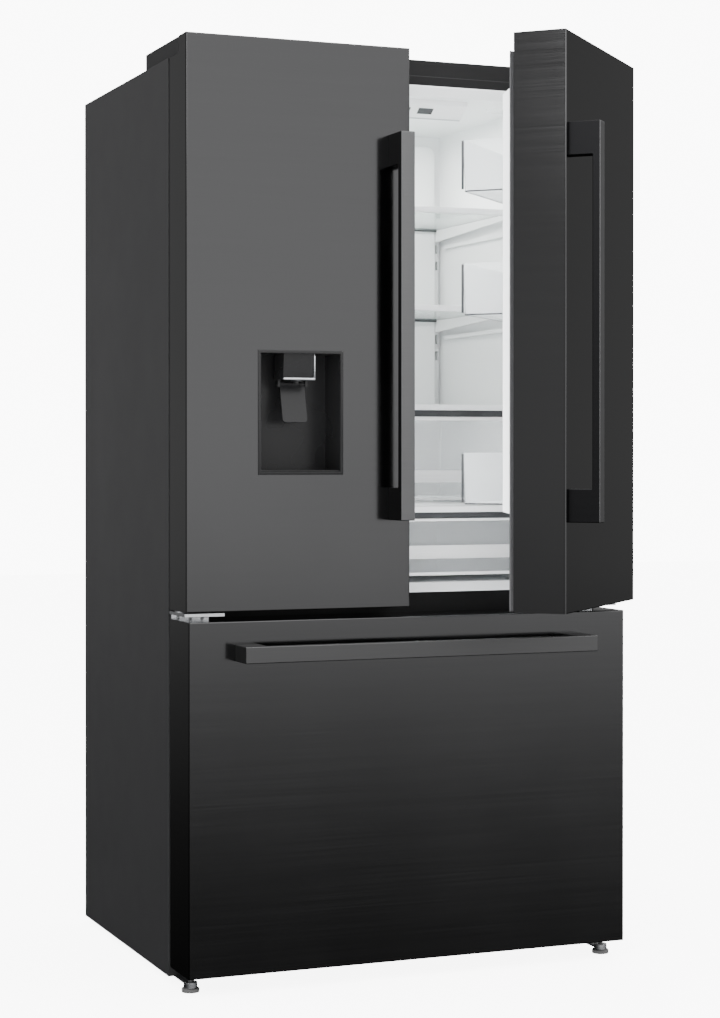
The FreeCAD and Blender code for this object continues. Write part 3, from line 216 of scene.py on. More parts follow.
LEVEL = (3.0, 3.0, 900.0)
UPRIGHT = (900.0, 900.0, 3.0)
FINE_LEVEL = (6.0, 6.0, 2500.0)
STEEL = (0.060, 0.060, 0.061)
WHITE = (0.83, 0.84, 0.85)
materials = {
    "door_steel": brushed("door_steel", STEEL, LEVEL, 0.13, edge=0.0, contrast=0.03),
    "case_paint": moulded("case_paint", (0.006, 0.006, 0.0063), 0.36, 1300.0, 0.25, Specular_IOR_Level=0.36),
    "galvanised": moulded("galvanised", (0.42, 0.43, 0.44), 0.40, 60.0, 0.1, Metallic=0.9),
    "foam": moulded("foam", (0.72, 0.62, 0.38), 0.9, 160.0, 0.8),
    "dark_plastic": moulded("dark_plastic", (0.020, 0.020, 0.021), 0.45, 900.0, 0.3),
    "recess_plastic": moulded("recess_plastic", (0.006, 0.006, 0.0063), 0.30, 1100.0, 0.2,
                              Specular_IOR_Level=0.22),
    "white_liner": moulded("white_liner", WHITE, 0.30, 260.0, 0.12, variation=0.02),
    "panel_white": moulded("panel_white", (0.86, 0.87, 0.88), 0.34, 500.0, 0.15, variation=0.02),
    "track_white": moulded("track_white", (0.62, 0.63, 0.64), 0.35, 800.0, 0.15),
    "trim_silver": brushed("trim_silver", (0.62, 0.63, 0.65), LEVEL, 0.28, contrast=0.05),
    "light_lens": glowing("light_lens", (0.95, 0.95, 0.93), 6.0),
    "shelf_glass": clear("shelf_glass", (0.70, 0.80, 0.78), 0.12, 0.75, 0.03),
    "clear_plastic": clear("clear_plastic", (0.82, 0.86, 0.88), 0.16, 0.72, 0.06),
    "gasket": moulded("gasket", (0.030, 0.030, 0.032), 0.55, 1200.0, 0.3),
    # Handle steel: lighter on faces turned to the front, darker on the others, by face direction: painted
    # highlight and painted shade.
    "handle_steel": facing_shaded("handle_steel", (0.120, 0.120, 0.122), (0.018, 0.018, 0.019), 0.40),
    "bar_steel": brushed("bar_steel", (0.080, 0.080, 0.081), (6.0, 2500.0, 2500.0), 0.40, contrast=0.06),
    "frame_paint": moulded("frame_paint", (0.005, 0.005, 0.0052), 0.50, 1300.0, 0.2, Specular_IOR_Level=0.16),
    "band_silver": brushed("band_silver", (0.80, 0.81, 0.82), LEVEL, 0.42, contrast=0.04, metal=0.25),
    "hinge_metal": brushed("hinge_metal", (0.62, 0.63, 0.65), (3.0, 3.0, 600.0), 0.25, contrast=0.05),
    "foot_plastic": moulded("foot_plastic", (0.030, 0.030, 0.030), 0.55, 900.0, 0.3),
    "basket_plastic": clear("basket_plastic", (0.78, 0.82, 0.85), 0.35, 0.85, 0.12),
    "fin_aluminium": brushed("fin_aluminium", (0.68, 0.69, 0.70), UPRIGHT, 0.30, contrast=0.06),
    "compressor_black": moulded("compressor_black", (0.012, 0.012, 0.012), 0.22, 300.0, 0.15),
    "rail_steel": brushed("rail_steel", (0.52, 0.53, 0.55), (3.0, 3.0, 700.0), 0.28, contrast=0.06),
    "screw_steel": brushed("screw_steel", (0.40, 0.41, 0.42), (400.0, 400.0, 400.0), 0.30, contrast=0.05),
    # Dark grey for the touch screens and top cover seams, and for the strips of painted shade at the bin
    # corners, glass shelf edges and the gaps above the crisper and pantry.
    "dark_edge": moulded("dark_edge", (0.035, 0.037, 0.040), 0.25, 900.0, 0.1),
    "grey_button": moulded("grey_button", (0.32, 0.33, 0.35), 0.30, 900.0, 0.1),
    "copper": brushed("copper", (0.62, 0.28, 0.15), (200.0, 200.0, 200.0), 0.32, contrast=0.08),
}

OWN = {"dispenser_housing": "recess_plastic", "drawer_handle": "bar_steel", "condenser_fan": "dark_plastic",
       "front_frame": "frame_paint", "top_cover": "frame_paint", "dispenser_outlet": "recess_plastic",
       "dispenser_paddle": "recess_plastic"}
for entry in frame["record"]["subparts"]:
    name = entry["node"]
    chosen = materials[OWN.get(name, entry["material_slot"])]
    for place in nodes[name].material_slots:
        place.material = chosen


# ---- mesh pieces --------------------------------------------------------------------------------
def add_piece(name, mesh, body, material, smooth=False):
    obj = bpy.data.objects.new(name, mesh)
    bpy.context.scene.collection.objects.link(obj)
    mesh.materials.append(materials[material])
    if smooth:
        for face in mesh.polygons:
            face.use_smooth = True
        mesh.set_sharp_from_angle(angle=SHARP_ANGLE)
    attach(obj, body)
    return obj


def mesh_from(name, verts, faces):
    mesh = bpy.data.meshes.new(name)
    mesh.from_pydata([tuple(v) for v in verts], [], faces)
    work = bmesh.new()
    work.from_mesh(mesh)
    bmesh.ops.recalc_face_normals(work, faces=work.faces)
    work.to_mesh(mesh)
    work.free()
    return mesh


def ring_faces(count, rings, closed_rings):
    """Quads between successive rings of count vertices each."""
    faces = []
    last = rings if closed_rings else rings - 1
    for ring in range(last):
        after = (ring + 1) % rings
        for index in range(count):
            nxt = (index + 1) % count
            faces.append((ring * count + index, ring * count + nxt, after * count + nxt,
                          after * count + index))
    return faces


def frame_sweep(profile, x, z, y):
    """Closed profile of (inset, depth) points swept round a rectangle in a plane across Y."""
    verts = []
    for inset, depth in profile:
        verts += [(x[0] + inset, y + depth, z[0] + inset), (x[1] - inset, y + depth, z[0] + inset),
                  (x[1] - inset, y + depth, z[1] - inset), (x[0] + inset, y + depth, z[1] - inset)]
    return verts, ring_faces(4, len(profile), True)


def block(x, y, z, bevel, segments=2):
    """Box with bevelled edges, as vertices and faces."""
    work = bmesh.new()
    bmesh.ops.create_cube(work, size=1.0)
    centre = Vector(((x[0] + x[1]) / 2, (y[0] + y[1]) / 2, (z[0] + z[1]) / 2))
    size = Vector((x[1] - x[0], y[1] - y[0], z[1] - z[0]))
    for vert in work.verts:
        vert.co = Vector((vert.co.x * size.x, vert.co.y * size.y, vert.co.z * size.z)) + centre
    width = min(bevel, min(size) * 0.45)
    bmesh.ops.bevel(work, geom=work.edges[:], offset=width, segments=segments, affect="EDGES", profile=0.5)
    work.verts.index_update()
    verts = [vert.co.copy() for vert in work.verts]
    faces = [[vert.index for vert in face.verts] for face in work.faces]
    work.free()
    return verts, faces


def lathe(profile, origin, axis, steps=32, wobble=None):
    """Turn (radius, height) points about an axis; wobble(step) scales the radius."""
    turn = Vector((0, 0, 1)).rotation_difference(Vector(axis).normalized()).to_matrix()
    verts = []
    for radius, height in profile:
        for step in range(steps):
            angle = 2 * math.pi * step / steps
            r = radius * (wobble(step) if wobble else 1.0)
            verts.append(Vector(origin) + turn @ Vector((r * math.cos(angle), r * math.sin(angle), height)))
    faces = ring_faces(steps, len(profile), False)
    faces.append(list(range(steps)))
    faces.append(list(range((len(profile) - 1) * steps, len(profile) * steps)))
    return verts, faces


def gather(parts):
    """Several (vertices, faces) as one."""
    verts, faces = [], []
    for part_verts, part_faces in parts:
        start = len(verts)
        verts += list(part_verts)
        faces += [[index + start for index in face] for face in part_faces]
    return verts, faces


def ajar(part):
    turn = Matrix.Translation(HINGE) @ Matrix.Rotation(AJAR, 4, "Z") @ Matrix.Translation(-HINGE)
    return [turn @ Vector(vert) for vert in part[0]], part[1]


def flipped(part):
    return [Vector((-vert[0], vert[1], vert[2])) for vert in part[0]], part[1]


def piece(name, part, body, material, smooth=True):
    return add_piece(name, mesh_from(name, *part), body, material, smooth)


def screw(origin, axis, radius=0.0032, height=0.0014):
    """Pan head with a round recess sunk into its top."""
    profile = [(radius, 0.0), (radius, height * 0.45), (radius * 0.82, height * 0.85),
               (radius * 0.45, height), (radius * 0.40, height * 0.45)]
    return lathe(profile, origin, axis, 24)


# ---- gaskets ------------------------------------------------------------------------------------
# Closed outline of (inset, depth) points: the foot, the bellows, the magnet strip and back again.
BELLOWS = [(0.0005, 0.0), (0.0175, 0.0), (0.0175, 0.0016), (0.0150, 0.0026), (0.0176, 0.0040),
           (0.0155, 0.0052), (0.0180, 0.0062), (0.0180, 0.0094), (0.0172, 0.0101), (0.0020, 0.0101),
           (0.0002, 0.0090), (0.0000, 0.0066), (0.0022, 0.0054), (0.0004, 0.0040), (0.0026, 0.0026),
           (0.0005, 0.0014)]
DOOR_SEAL_X = (0.0080, GASKET_OUTER)
DOOR_SEAL_Z = (0.6995, 1.7395)
DRAWER_SEAL_X = (-GASKET_OUTER, GASKET_OUTER)
DRAWER_SEAL_Z = (0.040, 0.668)


def make_gaskets():
    door = frame_sweep(BELLOWS, DOOR_SEAL_X, DOOR_SEAL_Z, DOOR_BACK)
    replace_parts(piece("right_door_seal", ajar(door), "right_door", "gasket"), "right_door_gasket")
    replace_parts(piece("left_door_seal", flipped(door), "left_door", "gasket"), "left_door_gasket")
    drawer = frame_sweep(BELLOWS, DRAWER_SEAL_X, DRAWER_SEAL_Z, DOOR_BACK)
    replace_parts(piece("drawer_seal", drawer, "freezer_drawer", "gasket"), "drawer_gasket")


make_gaskets()


# ---- door bins ----------------------------------------------------------------------------------
BIN_X = (0.0583, 0.3702)
BIN_Y = (-0.3121, -0.1897)
BIN_BOTTOMS = (0.8965, 1.2555, 1.4895)
BIN_HEIGHT = 0.098
BIN_WALL = 0.0025
BIN_TAPER = 0.004
BIN_CORNER = 0.006
BIN_RIBS = 13
BIN_RIB_PITCH = 0.022
BIN_RIB_HALF = 0.0008
SHADE_LINE_WIDTH = 0.0018             # width of the painted shade line along a bin's corners
SHADE_LINE_PROUD = 0.0004
EDGE_BEVEL = 0.0006


def tray_shell(x, y, z, wall, taper, radius, steps=5):
    """Thin rounded tray: corners of a radius, sides drawn in towards the floor, a rolled rim."""
    def outline(inset, height, share):
        pull = taper * (1 - share)
        lows = (x[0] + inset + pull, y[0] + inset)
        highs = (x[1] - inset - pull, y[1] - inset - pull)
        r = max(radius - inset, 0.0006)
        points = []
        for cx, cy, start in ((highs[0] - r, highs[1] - r, 0), (lows[0] + r, highs[1] - r, 90),
                              (lows[0] + r, lows[1] + r, 180), (highs[0] - r, lows[1] + r, 270)):
            for step in range(steps):
                angle = math.radians(start + 90 * step / (steps - 1))
                points.append((cx + r * math.cos(angle), cy + r * math.sin(angle), height))
        return points

    soft = wall * 0.8
    rings = [outline(soft, z[0], 0.0), outline(0.0, z[0] + soft, 0.0), outline(0.0, z[1] - soft / 2, 1.0),
             outline(wall * 0.3, z[1], 1.0), outline(wall * 0.8, z[1], 1.0),
             outline(wall, z[1] - soft / 2, 1.0), outline(wall, z[0] + wall + soft, 0.0),
             outline(wall + soft, z[0] + wall, 0.0)]
    count = 4 * steps
    verts = [point for ring in rings for point in ring]
    faces = ring_faces(count, len(rings), False)
    faces.append(list(range(count)))
    faces.append(list(range((len(rings) - 1) * count, len(rings) * count)))
    return verts, faces


def bin_parts(bottom):
    """Clear tray with ribs on its floor, and dark strips painted at its corners and floor edges: painted
    shade where the clear plastic's edges look dark.
    """
    top = bottom + BIN_HEIGHT
    body = [tray_shell(BIN_X, BIN_Y, (bottom, top), BIN_WALL, BIN_TAPER, BIN_CORNER)]
    for index in range(1, BIN_RIBS + 1):
        x = BIN_X[0] + 0.0022 + index * BIN_RIB_PITCH
        body.append(block((x - BIN_RIB_HALF, x + BIN_RIB_HALF), (BIN_Y[0] + 0.008, BIN_Y[1] - 0.010),
                          (bottom + 0.0023, bottom + 0.0040), EDGE_BEVEL, 1))
    edge = []
    floor_shade_z = (bottom - SHADE_LINE_PROUD, bottom + 0.0022)
    for x, inward in zip(BIN_X, (1, -1)):
        low, high = sorted((x, x + inward * SHADE_LINE_WIDTH))
        shift = 2 * inward * SHADE_LINE_WIDTH
        edge.append(block((low - SHADE_LINE_PROUD, high + SHADE_LINE_PROUD), (BIN_Y[1] - 0.0042, BIN_Y[1] + 0.0002),
                          (bottom + 0.004, top - 0.002), EDGE_BEVEL))
        edge.append(block((low + shift, high + shift), (BIN_Y[0] + 0.004, BIN_Y[1] - 0.006), floor_shade_z,
                          EDGE_BEVEL))
    edge.append(block((BIN_X[0] + BIN_CORNER, BIN_X[1] - BIN_CORNER), (BIN_Y[1] - 0.0064, BIN_Y[1] - 0.0040),
                      floor_shade_z, EDGE_BEVEL))
    return gather(body), gather(edge)


def make_bins(side, bins, change):
    """All the bins of one door as one clear piece, and their painted shade lines as another."""
    body = side + "_door"
    trays = piece(side + "_bins", change(gather([tray for tray, _ in bins])), body, "clear_plastic")
    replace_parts(trays, side + "_door_bins")
    piece(side + "_bin_edge_shade", change(gather([edge for _, edge in bins])), body, "dark_edge")


right_bins = [bin_parts(bottom) for bottom in BIN_BOTTOMS]
make_bins("right", right_bins, ajar)
make_bins("left", right_bins[1:], flipped)


# ---- crispers, pantry and baskets ---------------------------------------------------------------
CRISPER_X = (0.008, 0.346)
CRISPER_Y = (-0.169, 0.215)
CRISPER_Z = (0.898, 1.067)
CRISPER_BAND_Z = (0.9335, 0.9585)
CRISPER_RIBS = 6
CRISPER_RIB_PITCH = 0.055
RUNNER_BOTTOM = 0.8868
RUNNER_HALF = 0.006
PANTRY_Y = -0.259
PANTRY_HALF = 0.380
PANTRY_BAND_Z = (0.7815, 0.8085)
PANTRY_FLOOR_Z = (0.7482, 0.7545)
PANTRY_RIM_Z = (0.8570, 0.8622)
BASKET_HALF = 0.347
BASKET_RIBS = 13
BASKET_RIM = 0.004


def crisper_parts():
    """Ribbed tray on two runners, the silver band on its front, and its white rims."""
    x, y, z = CRISPER_X, CRISPER_Y, CRISPER_Z
    body = [tray_shell(x, (y[0] + 0.001, y[1]), z, 0.0028, 0.006, 0.008)]
    for index in range(CRISPER_RIBS):
        rib_y = y[0] + 0.05 + index * CRISPER_RIB_PITCH
        body.append(block((x[0] + 0.012, x[1] - 0.012), (rib_y - 0.001, rib_y + 0.001),
                          (z[0] + 0.0026, z[0] + 0.0044), 0.0007, 1))
    for runner_x in (x[0] + 0.018, x[1] - 0.018):
        body.append(block((runner_x - RUNNER_HALF, runner_x + RUNNER_HALF), (y[0] + 0.014, y[1] - 0.004),
                          (RUNNER_BOTTOM, z[0] + 0.0004), 0.0015))
    band = [block((x[0] + 0.0015, x[1] - 0.0015), (y[0] - 0.0012, y[0] + 0.004), CRISPER_BAND_Z, 0.0012)]
    rims = [block((x[0] + 0.004, x[1] - 0.004), (y[0] - 0.0008, y[0] + 0.003),
                  (z[0] - 0.0008, z[0] + 0.0030), 0.001),
            block((x[0] + 0.001, x[1] - 0.001), (y[0] - 0.0014, y[0] + 0.006),
                  (z[1] - 0.0060, z[1] + 0.0005), 0.0015)]
    return gather(body), gather(band), gather(rims)


def make_crisper(side, parts, change):
    body = side + "_crisper"
    tray, band, rims = [change(part) for part in parts]
    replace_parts(piece(body + "_tray", tray, body, "clear_plastic"), body)
    piece(body + "_band", band, body, "band_silver")
    piece(body + "_rims", rims, body, "panel_white")


def make_pantry_trim():
    half = PANTRY_HALF
    band = block((-half + 0.0005, half - 0.0005), (PANTRY_Y - 0.0012, PANTRY_Y + 0.0005), PANTRY_BAND_Z,
                 0.0005)
    piece("pantry_band", band, "pantry_drawer", "band_silver")
    rims = [block((-half, half), (PANTRY_Y - 0.0010, PANTRY_Y + 0.0005), PANTRY_FLOOR_Z, 0.0005),
            block((-half - 0.0005, half + 0.0005), (PANTRY_Y - 0.0016, PANTRY_Y + 0.0015), PANTRY_RIM_Z,
                  0.0007)]
    piece("pantry_rims", gather(rims), "pantry_drawer", "panel_white")


def make_basket(name, node, body, rim_at_top):
    """Basket with pressed ribs down its sides, a rolled rim and the flanges that hang on the rails."""
    corners = [Vector(corner) for corner in nodes[node].bound_box]
    low = Vector([min(corner[axis] for corner in corners) for axis in range(3)])
    high = Vector([max(corner[axis] for corner in corners) for axis in range(3)])
    half = BASKET_HALF
    parts = [tray_shell((-half, half), (low.y, high.y), (low.z, high.z), 0.003, 0.010, 0.016, 7)]
    middle = BASKET_RIBS // 2
    for index in range(BASKET_RIBS):
        x = half * 0.88 * (index - middle) / middle
        for y in (low.y + 0.006, high.y - 0.012):
            parts.append(block((x - 0.005, x + 0.005), (y, y + 0.004), (low.z + 0.012, high.z - 0.02),
                               0.0015))
    rim_z = (high.z - BASKET_RIM, high.z) if rim_at_top else (low.z, low.z + BASKET_RIM)
    for side in (-1, 1):
        x = sorted((side * (half - 0.010), side * high.x))
        parts.append(block(x, (low.y + 0.012, high.y - 0.012), rim_z, 0.001))
    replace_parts(piece(name, gather(parts), body, "basket_plastic"), node)


crisper = crisper_parts()
make_crisper("right", crisper, lambda part: part)
make_crisper("left", crisper, flipped)
make_pantry_trim()
make_basket("lower_basket_body", "lower_basket", "freezer_drawer", True)
make_basket("upper_basket_body", "upper_basket", "upper_basket", False)


# ---- shelves ------------------------------------------------------------------------------------
SHELF_FRONT = -0.172
SHELF_BACK = 0.2262
SHELF_TOPS = (1.2975, 1.4995)
SHELF_X = (0.002, 0.349)
TRIM_Y = (SHELF_FRONT - 0.0014, SHELF_FRONT + 0.003)
TRIM_BEVEL = 0.002
GLASS_SHADE_PROUD = 0.0002            # painted shade along the glass's edges, standing above its top face


def make_shelf(number, top):
    """White trims along the front of both halves, and dark strips painted along the edges of their glass:
    painted shade.
    """
    trims, lines = [], []
    glass_shade_z = (top - 0.0085, top + GLASS_SHADE_PROUD)
    for x in ((-SHELF_X[1], -SHELF_X[0]), SHELF_X):
        trims.append(block((x[0] + 0.0004, x[1] - 0.0004), TRIM_Y, (top - 0.0112, top + 0.0006),
                           TRIM_BEVEL, 3))
        lines.append(block((x[0] + 0.002, x[1] - 0.002), (SHELF_BACK - 0.0042, SHELF_BACK), glass_shade_z, 0.0008))
        for low in (x[0], x[1] - 0.003):
            lines.append(block((low, low + 0.003), (SHELF_FRONT + 0.008, SHELF_BACK - 0.0040), glass_shade_z,
                               0.0006))
    piece("shelf_trim_%d" % number, gather(trims), "cabinet", "panel_white")
    piece("shelf_glass_shade_%d" % number, gather(lines), "cabinet", "dark_edge")


for shelf, shelf_top in enumerate(SHELF_TOPS):
    make_shelf(shelf, shelf_top)
piece("cover_trim", block((-0.3488, 0.3488), TRIM_Y, (1.0830, 1.0940), TRIM_BEVEL, 3), "cabinet",
      "panel_white")
# Dark strip in the gap above the crisper fronts: painted shade.
piece("crisper_gap_shade", block((-0.345, 0.345), (-0.166, -0.162), (1.0690, 1.0824), 0.001), "cabinet",
      "dark_edge")
# Dark strip in the gap between the crisper base shelf and the pantry drawer: painted shade.
piece("pantry_gap_shade", block((-0.3830, 0.3830), (-0.2615, -0.2570), (0.8630, 0.8749), 0.0015), "cabinet",
      "dark_edge")


# ---- ceiling panel ------------------------------------------------------------------------------
PAD_COUNT = 6
PAD_PITCH = 0.022
PAD_START = -0.150
SCREEN_X = (0.060, 0.110)
SCREEN_HALF = (0.016, 0.008)
SCREEN_PROUD = 0.0008
SCREEN_SUNK = 0.0004


def tilted_pads():
    """Round touch pads and two small screens on the tilted face of the ceiling panel."""
    near = Vector((0, -0.244, 1.6965))
    far = Vector((0, -0.212, 1.6735))
    along = (far - near).normalized()
    normal = along.cross(Vector((1, 0, 0))).normalized()
    if normal.z > 0:
        normal.negate()
    middle = (near + far) / 2
    pads, screens = [], []
    for index in range(PAD_COUNT):
        centre = middle + Vector((PAD_START + index * PAD_PITCH, 0, 0)) - normal * SCREEN_SUNK
        pads.append(lathe([(0.0060, 0.0), (0.0060, 0.0008), (0.0052, 0.0012)], centre, normal, 24))
    half_x, half_y = SCREEN_HALF
    for x in SCREEN_X:
        centre = middle + Vector((x, 0, 0))
        corners = [(-half_x, -half_y), (half_x, -half_y), (half_x, half_y), (-half_x, half_y)]
        flat = [centre + Vector((dx, 0, 0)) + along * dy for dx, dy in corners]
        verts = [point - normal * SCREEN_SUNK for point in flat]
        verts += [point + normal * SCREEN_PROUD for point in flat]
        screens.append((verts, [(0, 1, 2, 3), (4, 5, 6, 7)] + ring_faces(4, 2, False)))
    return gather(pads), gather(screens)


pads, screens = tilted_pads()
piece("touch_pads", pads, "cabinet", "grey_button")
piece("touch_screens", screens, "cabinet", "dark_edge", False)
piece("panel_edge", block((-0.1965, 0.1965), (-0.2075, -0.2050), (1.6718, 1.6752), 0.0008), "cabinet",
      "trim_silver")


# ---- dispenser ----------------------------------------------------------------------------------
RECESS_X = (-0.3087, -0.1473)
RECESS_Z = (0.9575, 1.1825)
BEZEL = [(-0.0050, 0.0004), (-0.0050, -0.0008), (-0.0036, -0.0016), (0.0004, -0.0016), (0.0010, -0.0008),
         (0.0010, 0.0020)]
piece("recess_bezel", frame_sweep(BEZEL, RECESS_X, RECESS_Z, DOOR_FRONT), "left_door", "recess_plastic")
OUTLET_X = (-0.259, -0.197)
OUTLET_BOTTOM = 1.1325
outlet_trim = [block((OUTLET_X[0] - 0.0006, OUTLET_X[1] + 0.0012), (-0.4070, -0.4000),
                     (OUTLET_BOTTOM - 0.0010, OUTLET_BOTTOM + 0.0035), 0.0008),
               block((OUTLET_X[1] - 0.0010, OUTLET_X[1] + 0.0014), (-0.4070, -0.3600),
                     (OUTLET_BOTTOM + 0.0005, 1.1824), 0.0008)]
piece("outlet_trim", gather(outlet_trim), "left_door", "trim_silver")
lit_ring = lathe([(0.0100, 0.0), (0.0100, 0.0016), (0.0080, 0.0020), (0.0066, 0.0020), (0.0064, 0.0)],
                 (-0.228, -0.3891, OUTLET_BOTTOM + 0.0002), (0, 0, -1), 36)
piece("outlet_ring", lit_ring, "left_door", "trim_silver")


# ---- screws and feet ----------------------------------------------------------------------------
flange_screws = []
for side in (-1, 1):
    for x in (0.388, 0.412, 0.436):
        flange_screws.append(screw((side * x, CABINET_FRONT - 0.0030, 0.6825), (0, -1, 0)))
piece("flange_screws", gather(flange_screws), "cabinet", "screw_steel")

COVER_TOP = 1.7709
SEAM_HALF = 0.0008
cover_screws, cover_lines = [], []
for side in (-1, 1):
    for x, y in ((0.350, -0.180), (0.430, -0.180), (0.390, -0.285)):
        cover_screws.append(screw((side * x, y, COVER_TOP), (0, 0, 1), 0.0035, 0.0015))
    cover_lines.append(block((side * 0.332 - SEAM_HALF, side * 0.332 + SEAM_HALF), (-0.3015, -0.2625),
                             (1.7716, 1.7724), 0.0002))
piece("cover_screws", gather(cover_screws), "cabinet", "screw_steel")
piece("cover_seams", gather(cover_lines), "cabinet", "dark_edge")

BACK_Y = 0.2988
back_screws = []
for z in (0.270, 0.62, 0.98, 1.34, 1.70):
    for side in (-1, 1):
        back_screws.append(screw((side * 0.440, BACK_Y, z), (0, 1, 0)))
for x in (-0.40, -0.20, 0.0, 0.20, 0.40):
    back_screws.append(screw((x, BACK_Y, 0.236), (0, 1, 0)))
    back_screws.append(screw((x, BACK_Y, 1.725), (0, 1, 0)))
piece("back_screws", gather(back_screws), "cabinet", "screw_steel")


def foot_knurl(side):
    grip = [(0.0160, 0.0010), (0.0169, 0.0018), (0.0169, 0.0062), (0.0160, 0.0070)]
    return lathe(grip, (side * 0.433, -0.3724, FLOOR_Z), (0, 0, 1), 72,
                 lambda step: 1.0 if step % 3 else 0.965)


for side, name in ((-1, "left_foot"), (1, "right_foot")):
    piece(name + "_grip", foot_knurl(side), name, "foot_plastic", False)


# ---- compressor pipes ---------------------------------------------------------------------------
def pipe(name, points, radius, body, material):
    curve = bpy.data.curves.new(name, "CURVE")
    curve.dimensions = "3D"
    curve.bevel_depth = radius
    curve.bevel_resolution = 3
    curve.use_fill_caps = True
    spline = curve.splines.new("NURBS")
    spline.points.add(len(points) - 1)
    for point, place in zip(spline.points, points):
        point.co = (*place, 1.0)
    spline.order_u = 3
    spline.use_endpoint_u = True
    holder = bpy.data.objects.new(name + "_path", curve)
    mesh = bpy.data.meshes.new_from_object(holder)
    bpy.data.objects.remove(holder)
    return add_piece(name, mesh, body, material, True)


pipe("suction_pipe", [(-0.214, 0.190, 0.120), (-0.190, 0.190, 0.120), (-0.175, 0.190, 0.150),
                      (-0.165, 0.200, 0.200), (-0.120, 0.230, 0.225), (-0.050, 0.240, 0.232)], 0.004,
     "cabinet", "copper")
pipe("discharge_pipe", [(-0.240, 0.240, 0.110), (-0.200, 0.262, 0.100), (-0.160, 0.262, 0.060),
                        (-0.125, 0.240, 0.040), (-0.112, 0.190, 0.0275)], 0.003, "cabinet", "copper")
terminal = block((-0.232, -0.205), (0.165, 0.215), (0.060, 0.110), 0.004, 3)
piece("compressor_terminal", terminal, "cabinet", "dark_plastic")


# ---- studio -------------------------------------------------------------------------------------
REACH = 14.0                   # half the floor's side
FLOOR_GLOW = 7.0
BACKDROP = 10.0
STUDIO = 3.0
FRONT_RIGHT = (0.25, -0.97, 0.0)
# (place, level) stops: walls from behind on the left to the front, heights and ceiling from below to above.
WALLS = [(0.0, 0.08), (0.30, 0.05), (0.44, 0.07), (0.57, 0.22), (0.80, 0.46), (0.95, 0.74), (1.0, 0.74)]
HEIGHTS = [(0.0, 0.02), (0.38, 0.04), (0.42, 0.16), (0.45, 0.45), (0.475, 0.90), (0.50, 1.0), (1.0, 1.0)]
CEILING = [(0.5, 0.0), (0.64, 0.0), (0.85, 1.0), (1.0, 1.0)]


def stage_material():
    material, tree, shader = new_material("studio_floor", rough=0.6)
    tone = noise(tree, (0.7, 0.7, 0.7), 2.0)
    tree.links.new(ramp(tree, tone, [(0.3, (0.80, 0.80, 0.80)), (0.7, (0.84, 0.84, 0.84))]),
                   shader.inputs["Base Color"])
    shader.inputs["Emission Color"].default_value = (1.0, 1.0, 1.0, 1.0)
    shader.inputs["Emission Strength"].default_value = FLOOR_GLOW
    grain = noise(tree, (60.0, 60.0, 60.0), 2.0)
    bump(tree, shader, grain, 0.03, 0.0005)
    return material


def studio_floor():
    """Pale floor; mirror reflections don't see it, so that the drawer's front darkens towards it."""
    mesh = bpy.data.meshes.new("studio_floor")
    corners = [(-REACH, -REACH), (REACH, -REACH), (REACH, REACH), (-REACH, REACH)]
    mesh.from_pydata([(x, y, FLOOR_Z) for x, y in corners], [], [(0, 1, 2, 3)])
    mesh.materials.append(stage_material())
    floor = bpy.data.objects.new("studio_floor", mesh)
    bpy.context.scene.collection.objects.link(floor)
    floor.visible_glossy = False


def level_along(tree, coords, direction, stops):
    """Grey level through the stops, by how far a ray points along the direction."""
    dot = tree.nodes.new("ShaderNodeVectorMath")
    dot.operation = "DOT_PRODUCT"
    dot.inputs[1].default_value = Vector(direction).normalized()
    tree.links.new(coords.outputs["Generated"], dot.inputs[0])
    shift = tree.nodes.new("ShaderNodeMapRange")
    shift.inputs["From Min"].default_value = -1.0
    tree.links.new(dot.outputs["Value"], shift.inputs["Value"])
    return ramp(tree, shift.outputs["Result"], [(place, (level,) * 3) for place, level in stops])


def blended(tree, first, second, how):
    node = tree.nodes.new("ShaderNodeMix")
    node.data_type = "RGBA"
    node.blend_type = how
    node.inputs["Factor"].default_value = 1.0
    tree.links.new(first, node.inputs["A"])
    tree.links.new(second, node.inputs["B"])
    return node.outputs["Result"]


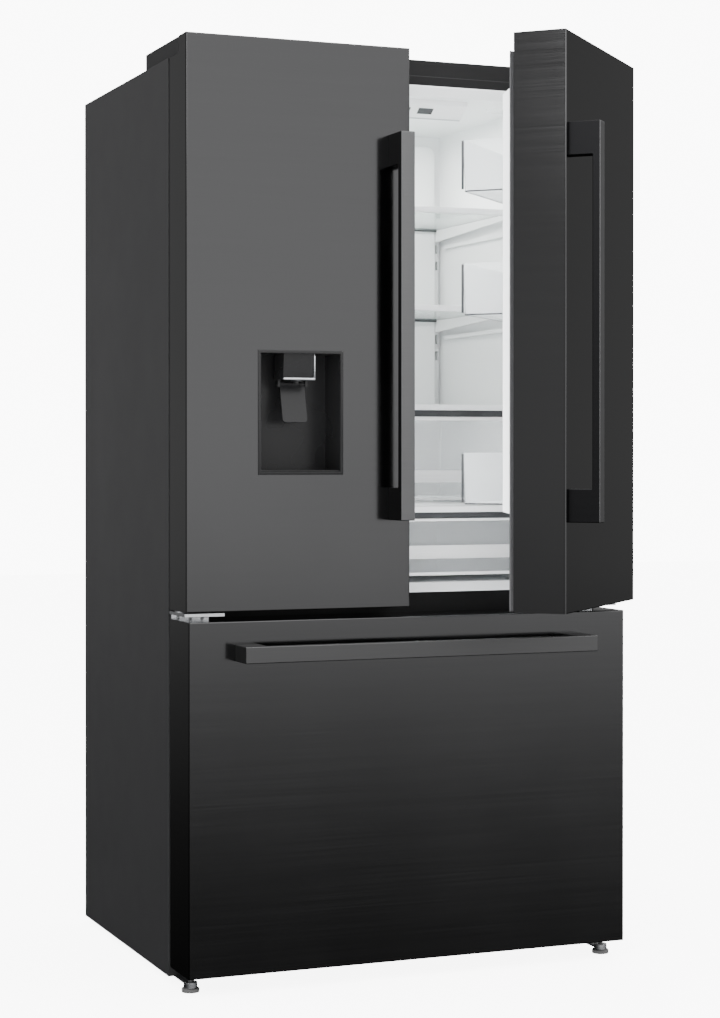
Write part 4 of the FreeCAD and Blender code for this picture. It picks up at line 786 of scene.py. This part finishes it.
def studio_world():
    """White backdrop; the light itself comes from a bright ceiling and a softer ring of walls."""
    world = bpy.data.worlds.new("studio")
    world.use_nodes = True
    tree = world.node_tree
    backdrop = tree.nodes["Background"]
    backdrop.inputs["Color"].default_value = (1.0, 1.0, 1.0, 1.0)
    backdrop.inputs["Strength"].default_value = BACKDROP
    coords = tree.nodes.new("ShaderNodeTexCoord")
    walls = level_along(tree, coords, FRONT_RIGHT, WALLS)
    heights = level_along(tree, coords, (0.0, 0.0, 1.0), HEIGHTS)
    ceiling = level_along(tree, coords, (0.0, 0.0, 1.0), CEILING)
    total = blended(tree, blended(tree, walls, heights, "MULTIPLY"), ceiling, "ADD")
    glow = tree.nodes.new("ShaderNodeBackground")
    glow.inputs["Strength"].default_value = STUDIO
    tree.links.new(total, glow.inputs["Color"])
    seen = tree.nodes.new("ShaderNodeLightPath")
    mix = tree.nodes.new("ShaderNodeMixShader")
    tree.links.new(seen.outputs["Is Camera Ray"], mix.inputs["Fac"])
    tree.links.new(glow.outputs["Background"], mix.inputs[1])
    tree.links.new(backdrop.outputs["Background"], mix.inputs[2])
    tree.links.new(mix.outputs["Shader"], tree.nodes["World Output"].inputs["Surface"])
    bpy.context.scene.world = world


studio_floor()
studio_world()


def area_light(name, place, target, size, energy, colour=(1, 1, 1)):
    data = bpy.data.lights.new(name, "AREA")
    data.shape = "RECTANGLE"
    data.size, data.size_y = size
    data.energy = energy
    data.color = colour
    light = bpy.data.objects.new(name, data)
    bpy.context.scene.collection.objects.link(light)
    light.location = place
    aim = Vector(target) - Vector(place)
    light.rotation_euler = aim.to_track_quat("-Z", "Y").to_euler()


WARM = (1.0, 0.98, 0.95)
area_light("key", (-2.6, -3.2, 3.0), (0.0, 0.0, 0.9), (2.0, 2.0), 70)
area_light("fill", (2.8, -2.4, 2.2), (0.2, 0.0, 0.9), (1.6, 2.2), 30)
area_light("inside_top", (0.0, -0.010, 1.695), (0.0, -0.06, 0.8), (0.30, 0.06), 8.0, WARM)
area_light("inside_low", (0.10, -0.150, 1.060), (0.10, 0.10, 0.9), (0.30, 0.02), 1.2, WARM)

camera_data = bpy.data.cameras.new("camera")
camera_data.sensor_width = 36.0
camera_data.lens = 78.33
camera_data.shift_y = -0.0389
camera_data.clip_end = 60.0
camera = bpy.data.objects.new("camera", camera_data)
camera.location = (-1.6963, -4.329, 0.989)
camera.rotation_euler = (math.radians(89.642), 0.0, math.radians(-22.09))
bpy.context.scene.collection.objects.link(camera)
bpy.context.scene.camera = camera
